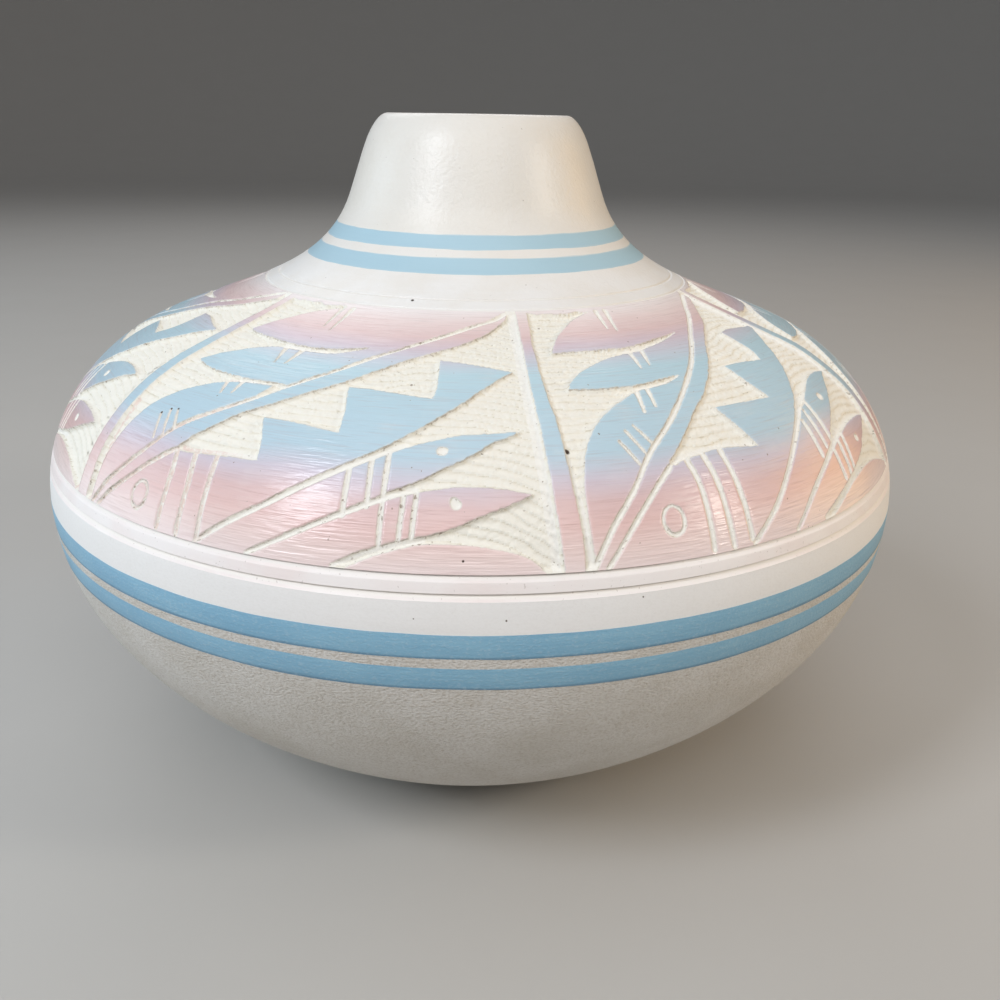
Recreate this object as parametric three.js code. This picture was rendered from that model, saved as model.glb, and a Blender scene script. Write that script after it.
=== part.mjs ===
// Pottery vase: a low, wide body that draws in to a short tapering neck, on a flat foot, with an open mouth.
// The clay wall is built up from sections, and each section is its own solid with a stepped lap at its
// edge: a foot slab, a lower bowl, a waist ring, a shoulder and a neck. Coats of coloured slip lie flush
// in shallow seats in the clay. Sizes are millimetres, Z is up, and the origin is the centre of the foot.
import * as THREE from "three";

// The outer wall, from the foot to the lip, is four smooth bends. Each pull says how far a bend keeps to
// its end's slope, as a share of the straight distance between its ends.
const FOOT_RADIUS = 42;
const FOOT_ANGLE = 30; // degrees above level
const FOOT_PULL = 0.37;
const BELLY_RADIUS = 100;
const BELLY_HEIGHT = 69.5;
const BELLY_PULL_BELOW = 0.35;
const BELLY_PULL_ABOVE = 0.33;
const SHOULDER_RADIUS = 73.2; // where the dome turns into a hollow curve
const SHOULDER_HEIGHT = 105.3;
const SHOULDER_ANGLE = 158.6;
const SHOULDER_PULL = 0.4;
const THROAT_RADIUS = 29.6; // where the hollow curve runs out into the neck
const THROAT_HEIGHT = 132.3;
const THROAT_ANGLE = 110.2;
const THROAT_PULL = 0.33;
const LIP_RADIUS = 25.6; // outside of the neck where the lip starts to round over
const LIP_HEIGHT = 146;
const LIP_ANGLE = 108;
const LIP_ROUNDING = 4; // from there up to the crest of the lip
const LIP_CREST_INSET = 3.2; // from there in to the crest of the lip
const LIP_PULL = 0.5;

// Thickness of the clay, and how the sections meet.
const WALL = 6;
const FLOOR = 7;
const SLAB_EDGE = 4; // height of the foot slab's outer edge
const NECK_LAP = 3; // how far one half of the wall reaches past the other
const WAIST_LAP = 1.2;

// Marks on the wall, measured along its outside. Those at the waist are set off from the belly line, and
// those on the neck from the throat.
const WAIST_ABOVE_BELLY = 6.7;
const WAIST_RING_WIDTH = 4.5;
const WAIST_RING_DEPTH = 3;
const WAIST_GROOVE_WIDTH = 1.25;
const WAIST_GROOVE_DEPTH = 0.9;
const BELLY_BANDS_BELOW_WAIST = 5.7;
const BELLY_BAND_UPPER_WIDTH = 4.7;
const BELLY_BAND_GAP = 1.8;
const BELLY_BAND_LOWER_WIDTH = 4.5;
const NECK_BANDS_BELOW_THROAT = 6.3;
const NECK_BAND_UPPER_WIDTH = 3.6;
const NECK_BAND_GAP = 2;
const NECK_BAND_LOWER_WIDTH = 4.5;
const COLLAR_WIDTH = 7.3; // plain collar under the neck bands
const FINE_GROOVE_SPACING = 3.4;
const FINE_GROOVE_WIDTH = 0.7;
const FINE_GROOVE_DEPTH = 0.35;
const FIELD_BELOW_NECK = 1.5; // bare rim between the shoulder's slip and the neck
const SLIP_DEPTH = 0.6;

// Faceting.
const SEGMENTS = 48;
const OUTER_PITCH = 7;
const INNER_PITCH = 11;
const GROOVE_STEPS = 4;
const LIP_STEPS = 5;

const direction = (degrees) => {
  const angle = THREE.MathUtils.degToRad(degrees);
  return new THREE.Vector2(Math.cos(angle), Math.sin(angle));
};

// A smooth bend from one point and slope to another.
function bend(from, fromAngle, fromPull, to, toAngle, toPull) {
  const span = from.distanceTo(to);
  const leave = from.clone().addScaledVector(direction(fromAngle), fromPull * span);
  const arrive = to.clone().addScaledVector(direction(toAngle), -toPull * span);
  const curve = new THREE.CubicBezierCurve(from, leave, arrive, to);
  curve.arcLengthDivisions = 400;
  return curve;
}

const foot = new THREE.Vector2(FOOT_RADIUS, 0);
const belly = new THREE.Vector2(BELLY_RADIUS, BELLY_HEIGHT);
const shoulderTurn = new THREE.Vector2(SHOULDER_RADIUS, SHOULDER_HEIGHT);
const throat = new THREE.Vector2(THROAT_RADIUS, THROAT_HEIGHT);
const lipStart = new THREE.Vector2(LIP_RADIUS, LIP_HEIGHT);
const wall = new THREE.CurvePath();
wall.add(bend(foot, FOOT_ANGLE, FOOT_PULL, belly, 90, BELLY_PULL_BELOW));
wall.add(bend(belly, 90, BELLY_PULL_ABOVE, shoulderTurn, SHOULDER_ANGLE, SHOULDER_PULL));
wall.add(bend(shoulderTurn, SHOULDER_ANGLE, SHOULDER_PULL, throat, THROAT_ANGLE, THROAT_PULL));
wall.add(bend(throat, THROAT_ANGLE, THROAT_PULL, lipStart, LIP_ANGLE, THROAT_PULL));
const [toBelly, , toThroat, toLip] = wall.getCurveLengths();

// The point so far along the wall's outside from the foot, and so deep under it.
function inWall(along, depth) {
  const share = along / toLip;
  const point = wall.getPointAt(share);
  const slope = wall.getTangentAt(share);
  return new THREE.Vector2(point.x - slope.y * depth, point.y + slope.x * depth);
}

// Points along the wall at one depth, with both ends kept.
function alongWall(start, end, depth, pitch) {
  const steps = Math.ceil(Math.abs(end - start) / pitch);
  return Array.from({ length: steps + 1 }, (_, i) => inWall(start + ((end - start) * i) / steps, depth));
}

// How far along the wall, below the belly, a depth in the clay reaches a height. Found by halving.
function placeAtHeight(height, depth) {
  let low = 0;
  let high = toBelly;
  for (let i = 0; i < 40; i += 1) {
    const middle = (low + high) / 2;
    if (inWall(middle, depth).y < height) low = middle;
    else high = middle;
  }
  return high;
}

// Places of the joints and of the coats of slip.
const slabPlace = placeAtHeight(SLAB_EDGE, 0);
const floorPlace = placeAtHeight(FLOOR, WALL);
const waistStart = toBelly + WAIST_ABOVE_BELLY;
const waistEnd = waistStart + WAIST_RING_WIDTH;
const waistMiddle = (waistStart + waistEnd) / 2;
const coat = (end, width) => ({ start: end - width, end });
const bellyUpper = coat(waistStart - BELLY_BANDS_BELOW_WAIST, BELLY_BAND_UPPER_WIDTH);
const bellyLower = coat(bellyUpper.start - BELLY_BAND_GAP, BELLY_BAND_LOWER_WIDTH);
const neckUpper = coat(toThroat - NECK_BANDS_BELOW_THROAT, NECK_BAND_UPPER_WIDTH);
const neckLower = coat(neckUpper.start - NECK_BAND_GAP, NECK_BAND_LOWER_WIDTH);
const collarGroove = neckLower.start - COLLAR_WIDTH - FINE_GROOVE_WIDTH;
const neckJoint = collarGroove - FINE_GROOVE_SPACING;
const field = { start: waistEnd, end: neckJoint - FIELD_BELOW_NECK };

// The outside of a section, dropping into a seat under each coat of slip.
function outside(start, end, coats) {
  const points = [];
  let place = start;
  for (const seat of coats) {
    if (seat.start > place) points.push(...alongWall(place, seat.start, 0, OUTER_PITCH));
    points.push(...alongWall(seat.start, seat.end, SLIP_DEPTH, OUTER_PITCH));
    place = seat.end;
  }
  points.push(...alongWall(place, end, 0, OUTER_PITCH));
  return points;
}

// A stepped lap between two sections, from a depth in the wall through to the inside.
function lap(place, depth, reach) {
  const half = (depth + WALL) / 2;
  return [inWall(place, depth), inWall(place, half), inWall(place + reach, half), inWall(place + reach, WALL)];
}

// A round-bottomed groove in the outside.
function groove(start, width, depth) {
  const points = [];
  for (let i = 0; i <= GROOVE_STEPS; i += 1) {
    const share = i / GROOVE_STEPS;
    points.push(inWall(start + width * share, depth * Math.sin(Math.PI * share)));
  }
  return points;
}

// Turns an outline about Z into a solid. The outline runs anticlockwise: up the outside, down the inside.
function turned(outline) {
  const points = outline.filter((point, i) => i === 0 || point.distanceTo(outline[i - 1]) > 1e-6);
  const onAxis = points[0].x === 0;
  if (!onAxis && points[0].distanceTo(points[points.length - 1]) > 1e-6) points.push(points[0].clone());
  return new THREE.LatheGeometry(points, SEGMENTS).rotateX(Math.PI / 2);
}

// The floor, with a step round its edge that carries the wall.
function footSlab() {
  const edge = inWall(slabPlace, 0);
  const corner = inWall(floorPlace, WALL);
  return turned([
    new THREE.Vector2(0, 0),
    ...alongWall(0, slabPlace, 0, OUTER_PITCH),
    new THREE.Vector2(corner.x, edge.y),
    corner,
    new THREE.Vector2(0, corner.y),
  ]);
}

// The wall from the slab to the waist, with a tongue that stands up behind the waist ring.
function lowerBowl() {
  const edge = inWall(slabPlace, 0);
  const corner = inWall(floorPlace, WALL);
  return turned([
    ...outside(slabPlace, waistStart, [bellyLower, bellyUpper]),
    inWall(waistStart, WAIST_RING_DEPTH),
    ...lap(waistMiddle, WAIST_RING_DEPTH, WAIST_LAP),
    ...alongWall(waistMiddle + WAIST_LAP, floorPlace, WALL, INNER_PITCH),
    new THREE.Vector2(corner.x, edge.y),
  ]);
}

// The strap over the joint of bowl and shoulder: a low bead between two turned grooves.
function waistRing() {
  return turned([
    ...groove(waistStart, WAIST_GROOVE_WIDTH, WAIST_GROOVE_DEPTH),
    ...groove(waistEnd - WAIST_GROOVE_WIDTH, WAIST_GROOVE_WIDTH, WAIST_GROOVE_DEPTH),
    inWall(waistEnd, WAIST_RING_DEPTH),
    inWall(waistMiddle, WAIST_RING_DEPTH),
    inWall(waistStart, WAIST_RING_DEPTH),
  ]);
}

// The domed upper wall, standing on the bowl's tongue, with one wide seat for its field of slip.
function shoulder() {
  return turned([
    ...lap(waistMiddle, WAIST_RING_DEPTH, WAIST_LAP).reverse(),
    inWall(waistEnd, WAIST_RING_DEPTH),
    ...outside(waistEnd, neckJoint, [field]),
    ...lap(neckJoint, 0, NECK_LAP),
    ...alongWall(neckJoint + NECK_LAP, waistMiddle + WAIST_LAP, WALL, INNER_PITCH),
  ]);
}

// The collar, the neck and the rounded lip, standing in the shoulder's stepped edge.
function neck() {
  const crest = new THREE.Vector2(LIP_RADIUS - LIP_CREST_INSET, LIP_HEIGHT + LIP_ROUNDING);
  const mouth = inWall(toLip, WALL);
  return turned([
    ...groove(neckJoint, FINE_GROOVE_WIDTH, FINE_GROOVE_DEPTH),
    ...groove(collarGroove, FINE_GROOVE_WIDTH, FINE_GROOVE_DEPTH),
    ...outside(collarGroove + FINE_GROOVE_WIDTH, toLip, [neckLower, neckUpper]),
    ...bend(lipStart, LIP_ANGLE, LIP_PULL, crest, 180, LIP_PULL).getPoints(LIP_STEPS),
    ...bend(crest, 180, LIP_PULL, mouth, LIP_ANGLE + 180, LIP_PULL).getPoints(LIP_STEPS),
    ...alongWall(toLip, neckJoint + NECK_LAP, WALL, INNER_PITCH),
    ...lap(neckJoint, 0, NECK_LAP).reverse(),
  ]);
}

// A coat of slip, flush with the clay round it.
function slipCoat(seat) {
  return turned([
    ...alongWall(seat.start, seat.end, 0, OUTER_PITCH),
    ...alongWall(seat.start, seat.end, SLIP_DEPTH, OUTER_PITCH).reverse(),
  ]);
}

const fired = (color, roughness) => new THREE.MeshStandardMaterial({ color, roughness, metalness: 0 });
const bareClay = fired(0xd9d2c4, 0.9);
const tintedClay = fired(0xe2dcd8, 0.7);
const carvedClay = fired(0xe9e4d2, 0.85);
const polishedClay = fired(0xebe6dc, 0.4);
const blueSlip = fired(0x86bcd6, 0.55);
const fieldSlip = fired(0xb7c3d4, 0.5);

const vase = new THREE.Group();
vase.name = "vase";
function piece(name, geometry, material) {
  const mesh = new THREE.Mesh(geometry, material);
  mesh.name = name;
  vase.add(mesh);
}
piece("foot_slab", footSlab(), bareClay);
piece("lower_bowl", lowerBowl(), bareClay);
piece("belly_band_lower", slipCoat(bellyLower), blueSlip);
piece("belly_band_upper", slipCoat(bellyUpper), blueSlip);
piece("waist_ring", waistRing(), tintedClay);
piece("shoulder", shoulder(), carvedClay);
piece("shoulder_slip", slipCoat(field), fieldSlip);
piece("neck", neck(), polishedClay);
piece("neck_band_lower", slipCoat(neckLower), blueSlip);
piece("neck_band_upper", slipCoat(neckUpper), blueSlip);

export default vase;
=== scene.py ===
"""Looks of the pottery vase: a low, wide pot with a short neck, painted bands and a carved shoulder.

Sizes are millimetres along the clay and degrees round the axis, unless a name says otherwise. A place on the
wall is given by its turn, from the side that faces the camera towards +X, and by its run, the distance along
the outside of the wall from the edge of the foot.
"""
import logging
from dataclasses import dataclass, field
from enum import Enum
from functools import cached_property
from typing import Any, Iterable, Sequence

import bpy
import numpy as np
from mathutils import Matrix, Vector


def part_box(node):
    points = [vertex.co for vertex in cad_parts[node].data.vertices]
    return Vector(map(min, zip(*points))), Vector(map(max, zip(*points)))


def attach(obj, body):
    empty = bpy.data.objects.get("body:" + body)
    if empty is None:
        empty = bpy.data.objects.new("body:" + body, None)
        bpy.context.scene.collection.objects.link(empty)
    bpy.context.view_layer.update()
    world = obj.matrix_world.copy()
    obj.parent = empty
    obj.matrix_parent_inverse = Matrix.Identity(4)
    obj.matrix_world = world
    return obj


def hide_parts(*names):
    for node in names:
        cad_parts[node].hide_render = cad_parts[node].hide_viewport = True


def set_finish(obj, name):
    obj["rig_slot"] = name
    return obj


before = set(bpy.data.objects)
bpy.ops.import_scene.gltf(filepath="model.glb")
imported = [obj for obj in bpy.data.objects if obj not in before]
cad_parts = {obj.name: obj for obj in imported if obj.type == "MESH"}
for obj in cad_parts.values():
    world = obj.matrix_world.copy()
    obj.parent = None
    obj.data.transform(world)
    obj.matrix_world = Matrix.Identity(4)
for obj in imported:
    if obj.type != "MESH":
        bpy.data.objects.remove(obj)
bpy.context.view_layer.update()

Array = np.ndarray
Points = tuple[tuple[float, float], ...]
Colour = tuple[float, float, float]
Coats = Sequence[tuple[tuple[float, float], int]]

LOG = logging.getLogger("vase")
BODY = "root"


def smooth_step(value: Array, low: float, high: float) -> Array:
    """Rise of 3t^2 - 2t^3 from 0 at low to 1 at high, with t held between 0 and 1."""
    t = np.clip((value - low) / (high - low), 0.0, 1.0)
    return t * t * (3.0 - 2.0 * t)


@dataclass(frozen=True)
class Grain:
    """Repeatable value noise: random numbers on a unit lattice, blended smoothly between its corners."""

    seed: int = 1

    def corner(self, x: Array, y: Array, z: Array) -> Array:
        """A number from -1 to 1 for each lattice corner.

        The three whole coordinates are mixed by odd multipliers, and the bits of the sum are folded twice.

        Args:
            x, y, z: whole coordinates of the corners.
        Returns:
            One value for each corner.
        """
        mixed = (x * 374761393 + y * 668265263 + z * 1442695041 + self.seed * 974634777) & 0xFFFFFFFF
        mixed = ((mixed ^ (mixed >> 13)) * 1274126177) & 0xFFFFFFFF
        return ((mixed ^ (mixed >> 16)) & 0xFFFF) / 32767.5 - 1.0

    def __call__(self, x: Array, y: Array, z: Array | float = 0.0) -> Array:
        """The noise at points, as the weighted mean of the eight lattice corners round each.

        Args:
            x, y, z: coordinates, with one lattice step as the unit.
        Returns:
            Values from -1 to 1 in the arrays' common shape.
        """
        x, y, z = np.broadcast_arrays(x, y, z)
        low = [np.floor(axis).astype(np.int64) for axis in (x, y, z)]
        share = [axis - base for axis, base in zip((x, y, z), low)]
        share = [t * t * (3.0 - 2.0 * t) for t in share]
        total = np.zeros(x.shape)
        for dx, dy, dz in np.ndindex(2, 2, 2):
            weight = (share[0] if dx else 1 - share[0]) * (share[1] if dy else 1 - share[1])
            weight = weight * (share[2] if dz else 1 - share[2])
            total += weight * self.corner(low[0] + dx, low[1] + dy, low[2] + dz)
        return total

    def round_pot(self, turn: Array, waves: float, level: Array | float) -> Array:
        """The noise read on a circle, some six bumps round it for each wave, so that it closes."""
        angle = np.radians(turn)
        return self(waves * np.sin(angle), waves * np.cos(angle), level)


@dataclass(frozen=True)
class WallLine:
    """The outside of the clay wall, from the foot to the lip, as four smooth bends."""

    foot_radius: float = 42.0
    foot_angle: float = 30.0
    foot_pull: float = 0.37
    belly_radius: float = 100.0
    belly_height: float = 69.5
    belly_pull_below: float = 0.35
    belly_pull_above: float = 0.33
    shoulder_radius: float = 73.2
    shoulder_height: float = 105.3
    shoulder_angle: float = 158.6
    shoulder_pull: float = 0.4
    throat_radius: float = 29.6
    throat_height: float = 132.3
    throat_angle: float = 110.2
    throat_pull: float = 0.33
    lip_radius: float = 25.3
    lip_height: float = 144.4
    lip_angle: float = 112.0
    lip_rounding: float = 5.6
    lip_crest_inset: float = 4.9
    lip_pull: float = 0.28
    thickness: float = 6.0
    floor: float = 7.0
    slab_edge: float = 4.0
    samples: int = 1500

    @staticmethod
    def bend(start: Sequence[float], leaving: tuple[float, float], end: Sequence[float],
             arriving: tuple[float, float], samples: int) -> Array:
        """A cubic Bezier bend whose handles lie along its end slopes, each a share of the chord long.

        Args:
            start, end: points as radius and height.
            leaving, arriving: slope in degrees and share of the chord at each end.
            samples: number of points.
        Returns:
            Points along the bend, both ends included.
        """
        first, last = np.array(start, float), np.array(end, float)
        chord = np.hypot(*(last - first))
        turns = np.radians([leaving[0], arriving[0]])
        near = first + leaving[1] * chord * np.array([np.cos(turns[0]), np.sin(turns[0])])
        far = last - arriving[1] * chord * np.array([np.cos(turns[1]), np.sin(turns[1])])
        t = np.linspace(0.0, 1.0, samples)[:, None]
        return (1 - t) ** 3 * first + 3 * (1 - t) ** 2 * t * near + 3 * (1 - t) * t**2 * far + t**3 * last

    @cached_property
    def bends(self) -> list[Array]:
        """The four bends of the wall.

        Returns:
            The points of each, in order from the foot.
        """
        foot = (self.foot_radius, 0.0)
        belly = (self.belly_radius, self.belly_height)
        shoulder = (self.shoulder_radius, self.shoulder_height)
        throat = (self.throat_radius, self.throat_height)
        lip = (self.lip_radius, self.lip_height)
        upright = 90.0
        dome = (self.shoulder_angle, self.shoulder_pull)
        neck = (self.throat_angle, self.throat_pull)
        ends = (
            (foot, (self.foot_angle, self.foot_pull), belly, (upright, self.belly_pull_below)),
            (belly, (upright, self.belly_pull_above), shoulder, dome),
            (shoulder, dome, throat, neck),
            (throat, neck, lip, (self.lip_angle, self.throat_pull)),
        )
        return [self.bend(*end, self.samples) for end in ends]

    @cached_property
    def line(self) -> tuple[Array, Array]:
        """The whole wall as one line. A point's run is the sum of the steps up to it.

        Returns:
            The points, and the run of each.
        """
        points = np.concatenate([self.bends[0]] + [bend[1:] for bend in self.bends[1:]])
        steps = np.hypot(*np.diff(points, axis=0).T)
        return points, np.concatenate([[0.0], np.cumsum(steps)])

    def run_to(self, bends: int) -> float:
        """Run at the end of so many bends."""
        return float(self.line[1][bends * (self.samples - 1)])

    def place(self, run: Array | float, depth: Array | float = 0.0) -> tuple[Array, Array]:
        """Radius and height of points at a run, a depth under the outside, square to its slope.

        Args:
            run: distances along the outside.
            depth: distances into the clay.
        Returns:
            Radii and heights.
        """
        points, runs = self.line
        radius, height = (np.interp(run, runs, axis) for axis in points.T)
        out, up = self.facing(run)
        return radius - out * depth, height - up * depth

    def facing(self, run: Array | float) -> tuple[Array, Array]:
        """The outward direction at a run: the slope turned by a right angle.

        Args:
            run: distances along the outside.
        Returns:
            Its radial and upward parts.
        """
        points, runs = self.line
        slope = np.gradient(points, runs, axis=0)
        along, up = (np.interp(run, runs, axis) for axis in slope.T)
        length = np.hypot(along, up)
        return up / length, -along / length

    def run_at_height(self, height: float, depth: float = 0.0) -> float:
        """Run below the belly where a depth in the clay lies at a height, by looking it up along the wall."""
        runs = np.linspace(0.0, self.run_to(1), self.samples)
        return float(np.interp(height, self.place(runs, depth)[1], runs))


@dataclass(frozen=True)
class Marks:
    """Runs of the joints, bands and turned lines, set off from the belly line and from the throat."""

    wall: WallLine
    waist_above_belly: float = 6.7
    ring_width: float = 4.5
    ring_depth: float = 3.0
    waist_groove_width: float = 1.25
    belly_bands_below_waist: float = 5.7
    belly_band_upper_width: float = 4.7
    belly_band_gap: float = 1.8
    belly_band_lower_width: float = 4.5
    neck_bands_below_throat: float = 6.3
    neck_band_upper_width: float = 3.6
    neck_band_gap: float = 2.0
    neck_band_lower_width: float = 4.5
    collar_width: float = 7.3
    fine_groove_spacing: float = 3.4
    fine_groove_width: float = 0.7
    fine_groove_depth: float = 0.2
    neck_lap: float = 3.0
    slip_depth: float = 0.6

    @property
    def waist(self) -> float:
        """Run of the joint of bowl and waist ring."""
        return self.wall.run_to(1) + self.waist_above_belly

    @property
    def waist_top(self) -> float:
        """Run of the joint of waist ring and shoulder."""
        return self.waist + self.ring_width

    @property
    def ring_middle(self) -> float:
        """Run of the middle of the waist ring, under which bowl and shoulder meet."""
        return 0.5 * (self.waist + self.waist_top)

    @property
    def belly_upper(self) -> tuple[float, float]:
        """Runs of the edges of the upper belly band."""
        end = self.waist - self.belly_bands_below_waist
        return end - self.belly_band_upper_width, end

    @property
    def belly_lower(self) -> tuple[float, float]:
        """Runs of the edges of the lower belly band."""
        end = self.belly_upper[0] - self.belly_band_gap
        return end - self.belly_band_lower_width, end

    @property
    def neck_upper(self) -> tuple[float, float]:
        """Runs of the edges of the upper neck band."""
        end = self.wall.run_to(3) - self.neck_bands_below_throat
        return end - self.neck_band_upper_width, end

    @property
    def neck_lower(self) -> tuple[float, float]:
        """Runs of the edges of the lower neck band."""
        end = self.neck_upper[0] - self.neck_band_gap
        return end - self.neck_band_lower_width, end

    @property
    def collar_groove(self) -> float:
        """Run where the fine line under the collar starts."""
        return self.neck_lower[0] - self.collar_width - self.fine_groove_width

    @property
    def neck_joint(self) -> float:
        """Run of the joint of shoulder and neck."""
        return self.collar_groove - self.fine_groove_spacing


@dataclass(frozen=True)
class Hand:
    """What the hand leaves on a turned pot: a wall that isn't quite round, and band edges that waver."""

    least: float = 0.04
    out_of_round: float = 0.07
    waves: tuple[tuple[float, ...], ...] = ((1.0, 2.0, 0.6, 60.0), (0.5, 3.0, -1.1, 35.0))
    swell: float = 0.035
    swell_length: float = 5.7
    swell_lean: float = 0.4
    fade_length: float = 17.0
    fade_start: float = 1.3
    edge_wander: float = 0.13
    slow_wander: float = 3.0
    quick_wander: float = 16.0
    quick_share: float = 0.45
    line_spacing: float = 10.0
    grain: Grain = Grain(7)

    def unevenness(self, turn: Array, run: Array) -> Array:
        """How deep the real surface lies under the ideal wall: always a little, so it never stands proud.

        It is whole waves round the pot, each with a share, a number, a phase and the run over which the phase
        drifts by a radian, and swells along the wall that lean round the pot and fade in and out.

        Args:
            turn: degrees round the axis.
            run: distance along the wall.
        Returns:
            Depths in millimetres.
        """
        angle = np.radians(turn)
        most = sum(wave[0] for wave in self.waves)
        waves = sum(share * np.sin(number * angle + phase + run / drift)
                    for share, number, phase, drift in self.waves)
        swells = np.sin(run / self.swell_length + self.swell_lean * np.sin(angle))
        swells = swells * np.sin(run / self.fade_length + self.fade_start)
        depth = self.least + self.out_of_round * (most + waves) / (2.0 * most)
        return depth + self.swell * (1.0 + swells) / 2.0

    def waver(self, turn: Array, line: int) -> Array:
        """How far a painted edge strays along the wall: noise read round a circle, so that it closes.

        Args:
            turn: degrees round the axis.
            line: number of the edge, so that no two are alike.
        Returns:
            Distances in millimetres.
        """
        level = self.line_spacing * line
        slow = self.grain.round_pot(turn, self.slow_wander, level)
        quick = self.grain.round_pot(turn, self.quick_wander, level + 0.5 * self.line_spacing)
        return self.edge_wander * (slow + self.quick_share * quick)


@dataclass
class Skin:
    """Vertices, faces and attributes of one piece while it is built, in millimetres."""

    points: list[Array] = field(default_factory=list)
    facings: list[Array] = field(default_factory=list)
    values: dict[str, list[Array]] = field(default_factory=dict)
    faces: list[Array] = field(default_factory=list)
    count: int = 0

    def add(self, points: Array, facing: Array | None = None, **values: Array) -> Array:
        """Adds a block of vertices.

        Args:
            points: positions, with the three coordinates last.
            facing: unit normals in the same shape, or None to leave them to the faces.
            values: attributes in the block's shape.
        Returns:
            The vertices' numbers in the block's shape.
        """
        shape = points.shape[:-1]
        self.points.append(points.reshape(-1, 3))
        self.facings.append((np.zeros_like(points) if facing is None else facing).reshape(-1, 3))
        for name, value in values.items():
            self.values.setdefault(name, []).append(np.broadcast_to(value, shape).reshape(-1))
        numbers = self.count + np.arange(self.points[-1].shape[0]).reshape(shape)
        self.count += self.points[-1].shape[0]
        return numbers

    def weave(self, numbers: Array) -> None:
        """Adds a quad for each cell of a grid of vertex numbers whose rows go up and columns go round."""
        quads = np.stack([numbers[:-1, :-1], numbers[:-1, 1:], numbers[1:, 1:], numbers[1:, :-1]], axis=-1)
        self.faces.append(quads.reshape(-1, 4))

    def cap(self, ring: Array) -> None:
        """Adds one flat face through a loop of vertex numbers."""
        self.faces.append(ring.reshape(1, -1))

    def fan(self, centre: int, ring: Array) -> None:
        """Adds a triangle from a centre to each step of a loop of vertex numbers."""
        self.faces.append(np.stack([np.full(ring.size - 1, centre), ring[:-1], ring[1:]], axis=-1))

    def finish(self, name: str, unit: float, sharp: float = 40.0) -> bpy.types.Object:
        """Makes the Blender object, at the origin and unturned.

        Args:
            name: the piece's name.
            unit: metres in one of the skin's millimetres.
            sharp: degrees between faces above which an edge is shaded as a corner.
        Returns:
            The new object.
        """
        mesh = bpy.data.meshes.new(name)
        points = np.concatenate(self.points) * unit
        corners = np.concatenate([block.reshape(-1) for block in self.faces])
        sizes = np.concatenate([np.full(len(block), block.shape[1]) for block in self.faces])
        mesh.vertices.add(len(points))
        mesh.vertices.foreach_set("co", points.astype(np.float32).reshape(-1))
        mesh.loops.add(corners.size)
        mesh.loops.foreach_set("vertex_index", corners.astype(np.int32))
        mesh.polygons.add(sizes.size)
        mesh.polygons.foreach_set("loop_start", (np.cumsum(sizes) - sizes).astype(np.int32))
        mesh.polygons.foreach_set("use_smooth", np.ones(sizes.size, dtype=bool))
        for label, blocks in self.values.items():
            layer = mesh.attributes.new(label, "FLOAT", "POINT")
            layer.data.foreach_set("value", np.concatenate(blocks).astype(np.float32))
        mesh.update(calc_edges=True)
        mesh.set_sharp_from_angle(angle=np.radians(sharp))
        facings = np.concatenate(self.facings)
        if np.any(facings):
            mesh.normals_split_custom_set_from_vertices(facings)
        piece = bpy.data.objects.new(name, mesh)
        bpy.context.scene.collection.objects.link(piece)
        return piece


@dataclass(frozen=True)
class Rows:
    """Stations of an outline, in order, before it is turned: where each lies and what may move it.

    The base is a radius and height, out a direction square to the wall, along the wall's slope. A row strays
    along the wall by its band edge's waver, and sinks along -out by the pot's unevenness and its own relief.
    """

    base: Array
    out: Array
    run: Array
    outer: Array
    edge: Array

    @classmethod
    def on_wall(cls, wall: WallLine, runs: Array, depth: Array | float, outer: bool, edge: int = 0) -> "Rows":
        """Rows at places in the wall.

        Args:
            wall: the wall.
            runs: distances along its outside.
            depth: distances into the clay.
            outer: whether the rows follow the outside's unevenness.
            edge: number of the band edge that the rows stray with, or 0.
        Returns:
            The rows.
        """
        runs = np.atleast_1d(np.asarray(runs, float))
        base = np.stack(wall.place(runs, depth), axis=-1)
        out = np.stack(wall.facing(runs), axis=-1)
        return cls(base, out, runs, np.full(runs.size, float(outer)), np.full(runs.size, edge))

    @classmethod
    def free(cls, points: Array, run: float, outer: float = 0.0) -> "Rows":
        """Rows at given places, whose out direction is square to the line through them.

        Args:
            points: radii and heights.
            run: the run of them all.
            outer: 1 where they follow the outside's unevenness, or 0.
        Returns:
            The rows.
        """
        points = np.asarray(points, float).reshape(-1, 2)
        slope = np.gradient(points, axis=0) if len(points) > 1 else np.array([[1.0, 0.0]])
        slope = slope / np.hypot(*slope.T)[:, None]
        out = np.stack([slope[:, 1], -slope[:, 0]], axis=-1)
        size = len(points)
        return cls(points, out, np.full(size, run), np.full(size, outer), np.zeros(size, int))

    @staticmethod
    def join(parts: Iterable["Rows"]) -> "Rows":
        """One set of rows from several, in order."""
        blocks = ((part.base, part.out, part.run, part.outer, part.edge) for part in parts)
        return Rows(*(np.concatenate(block) for block in zip(*blocks)))


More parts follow.
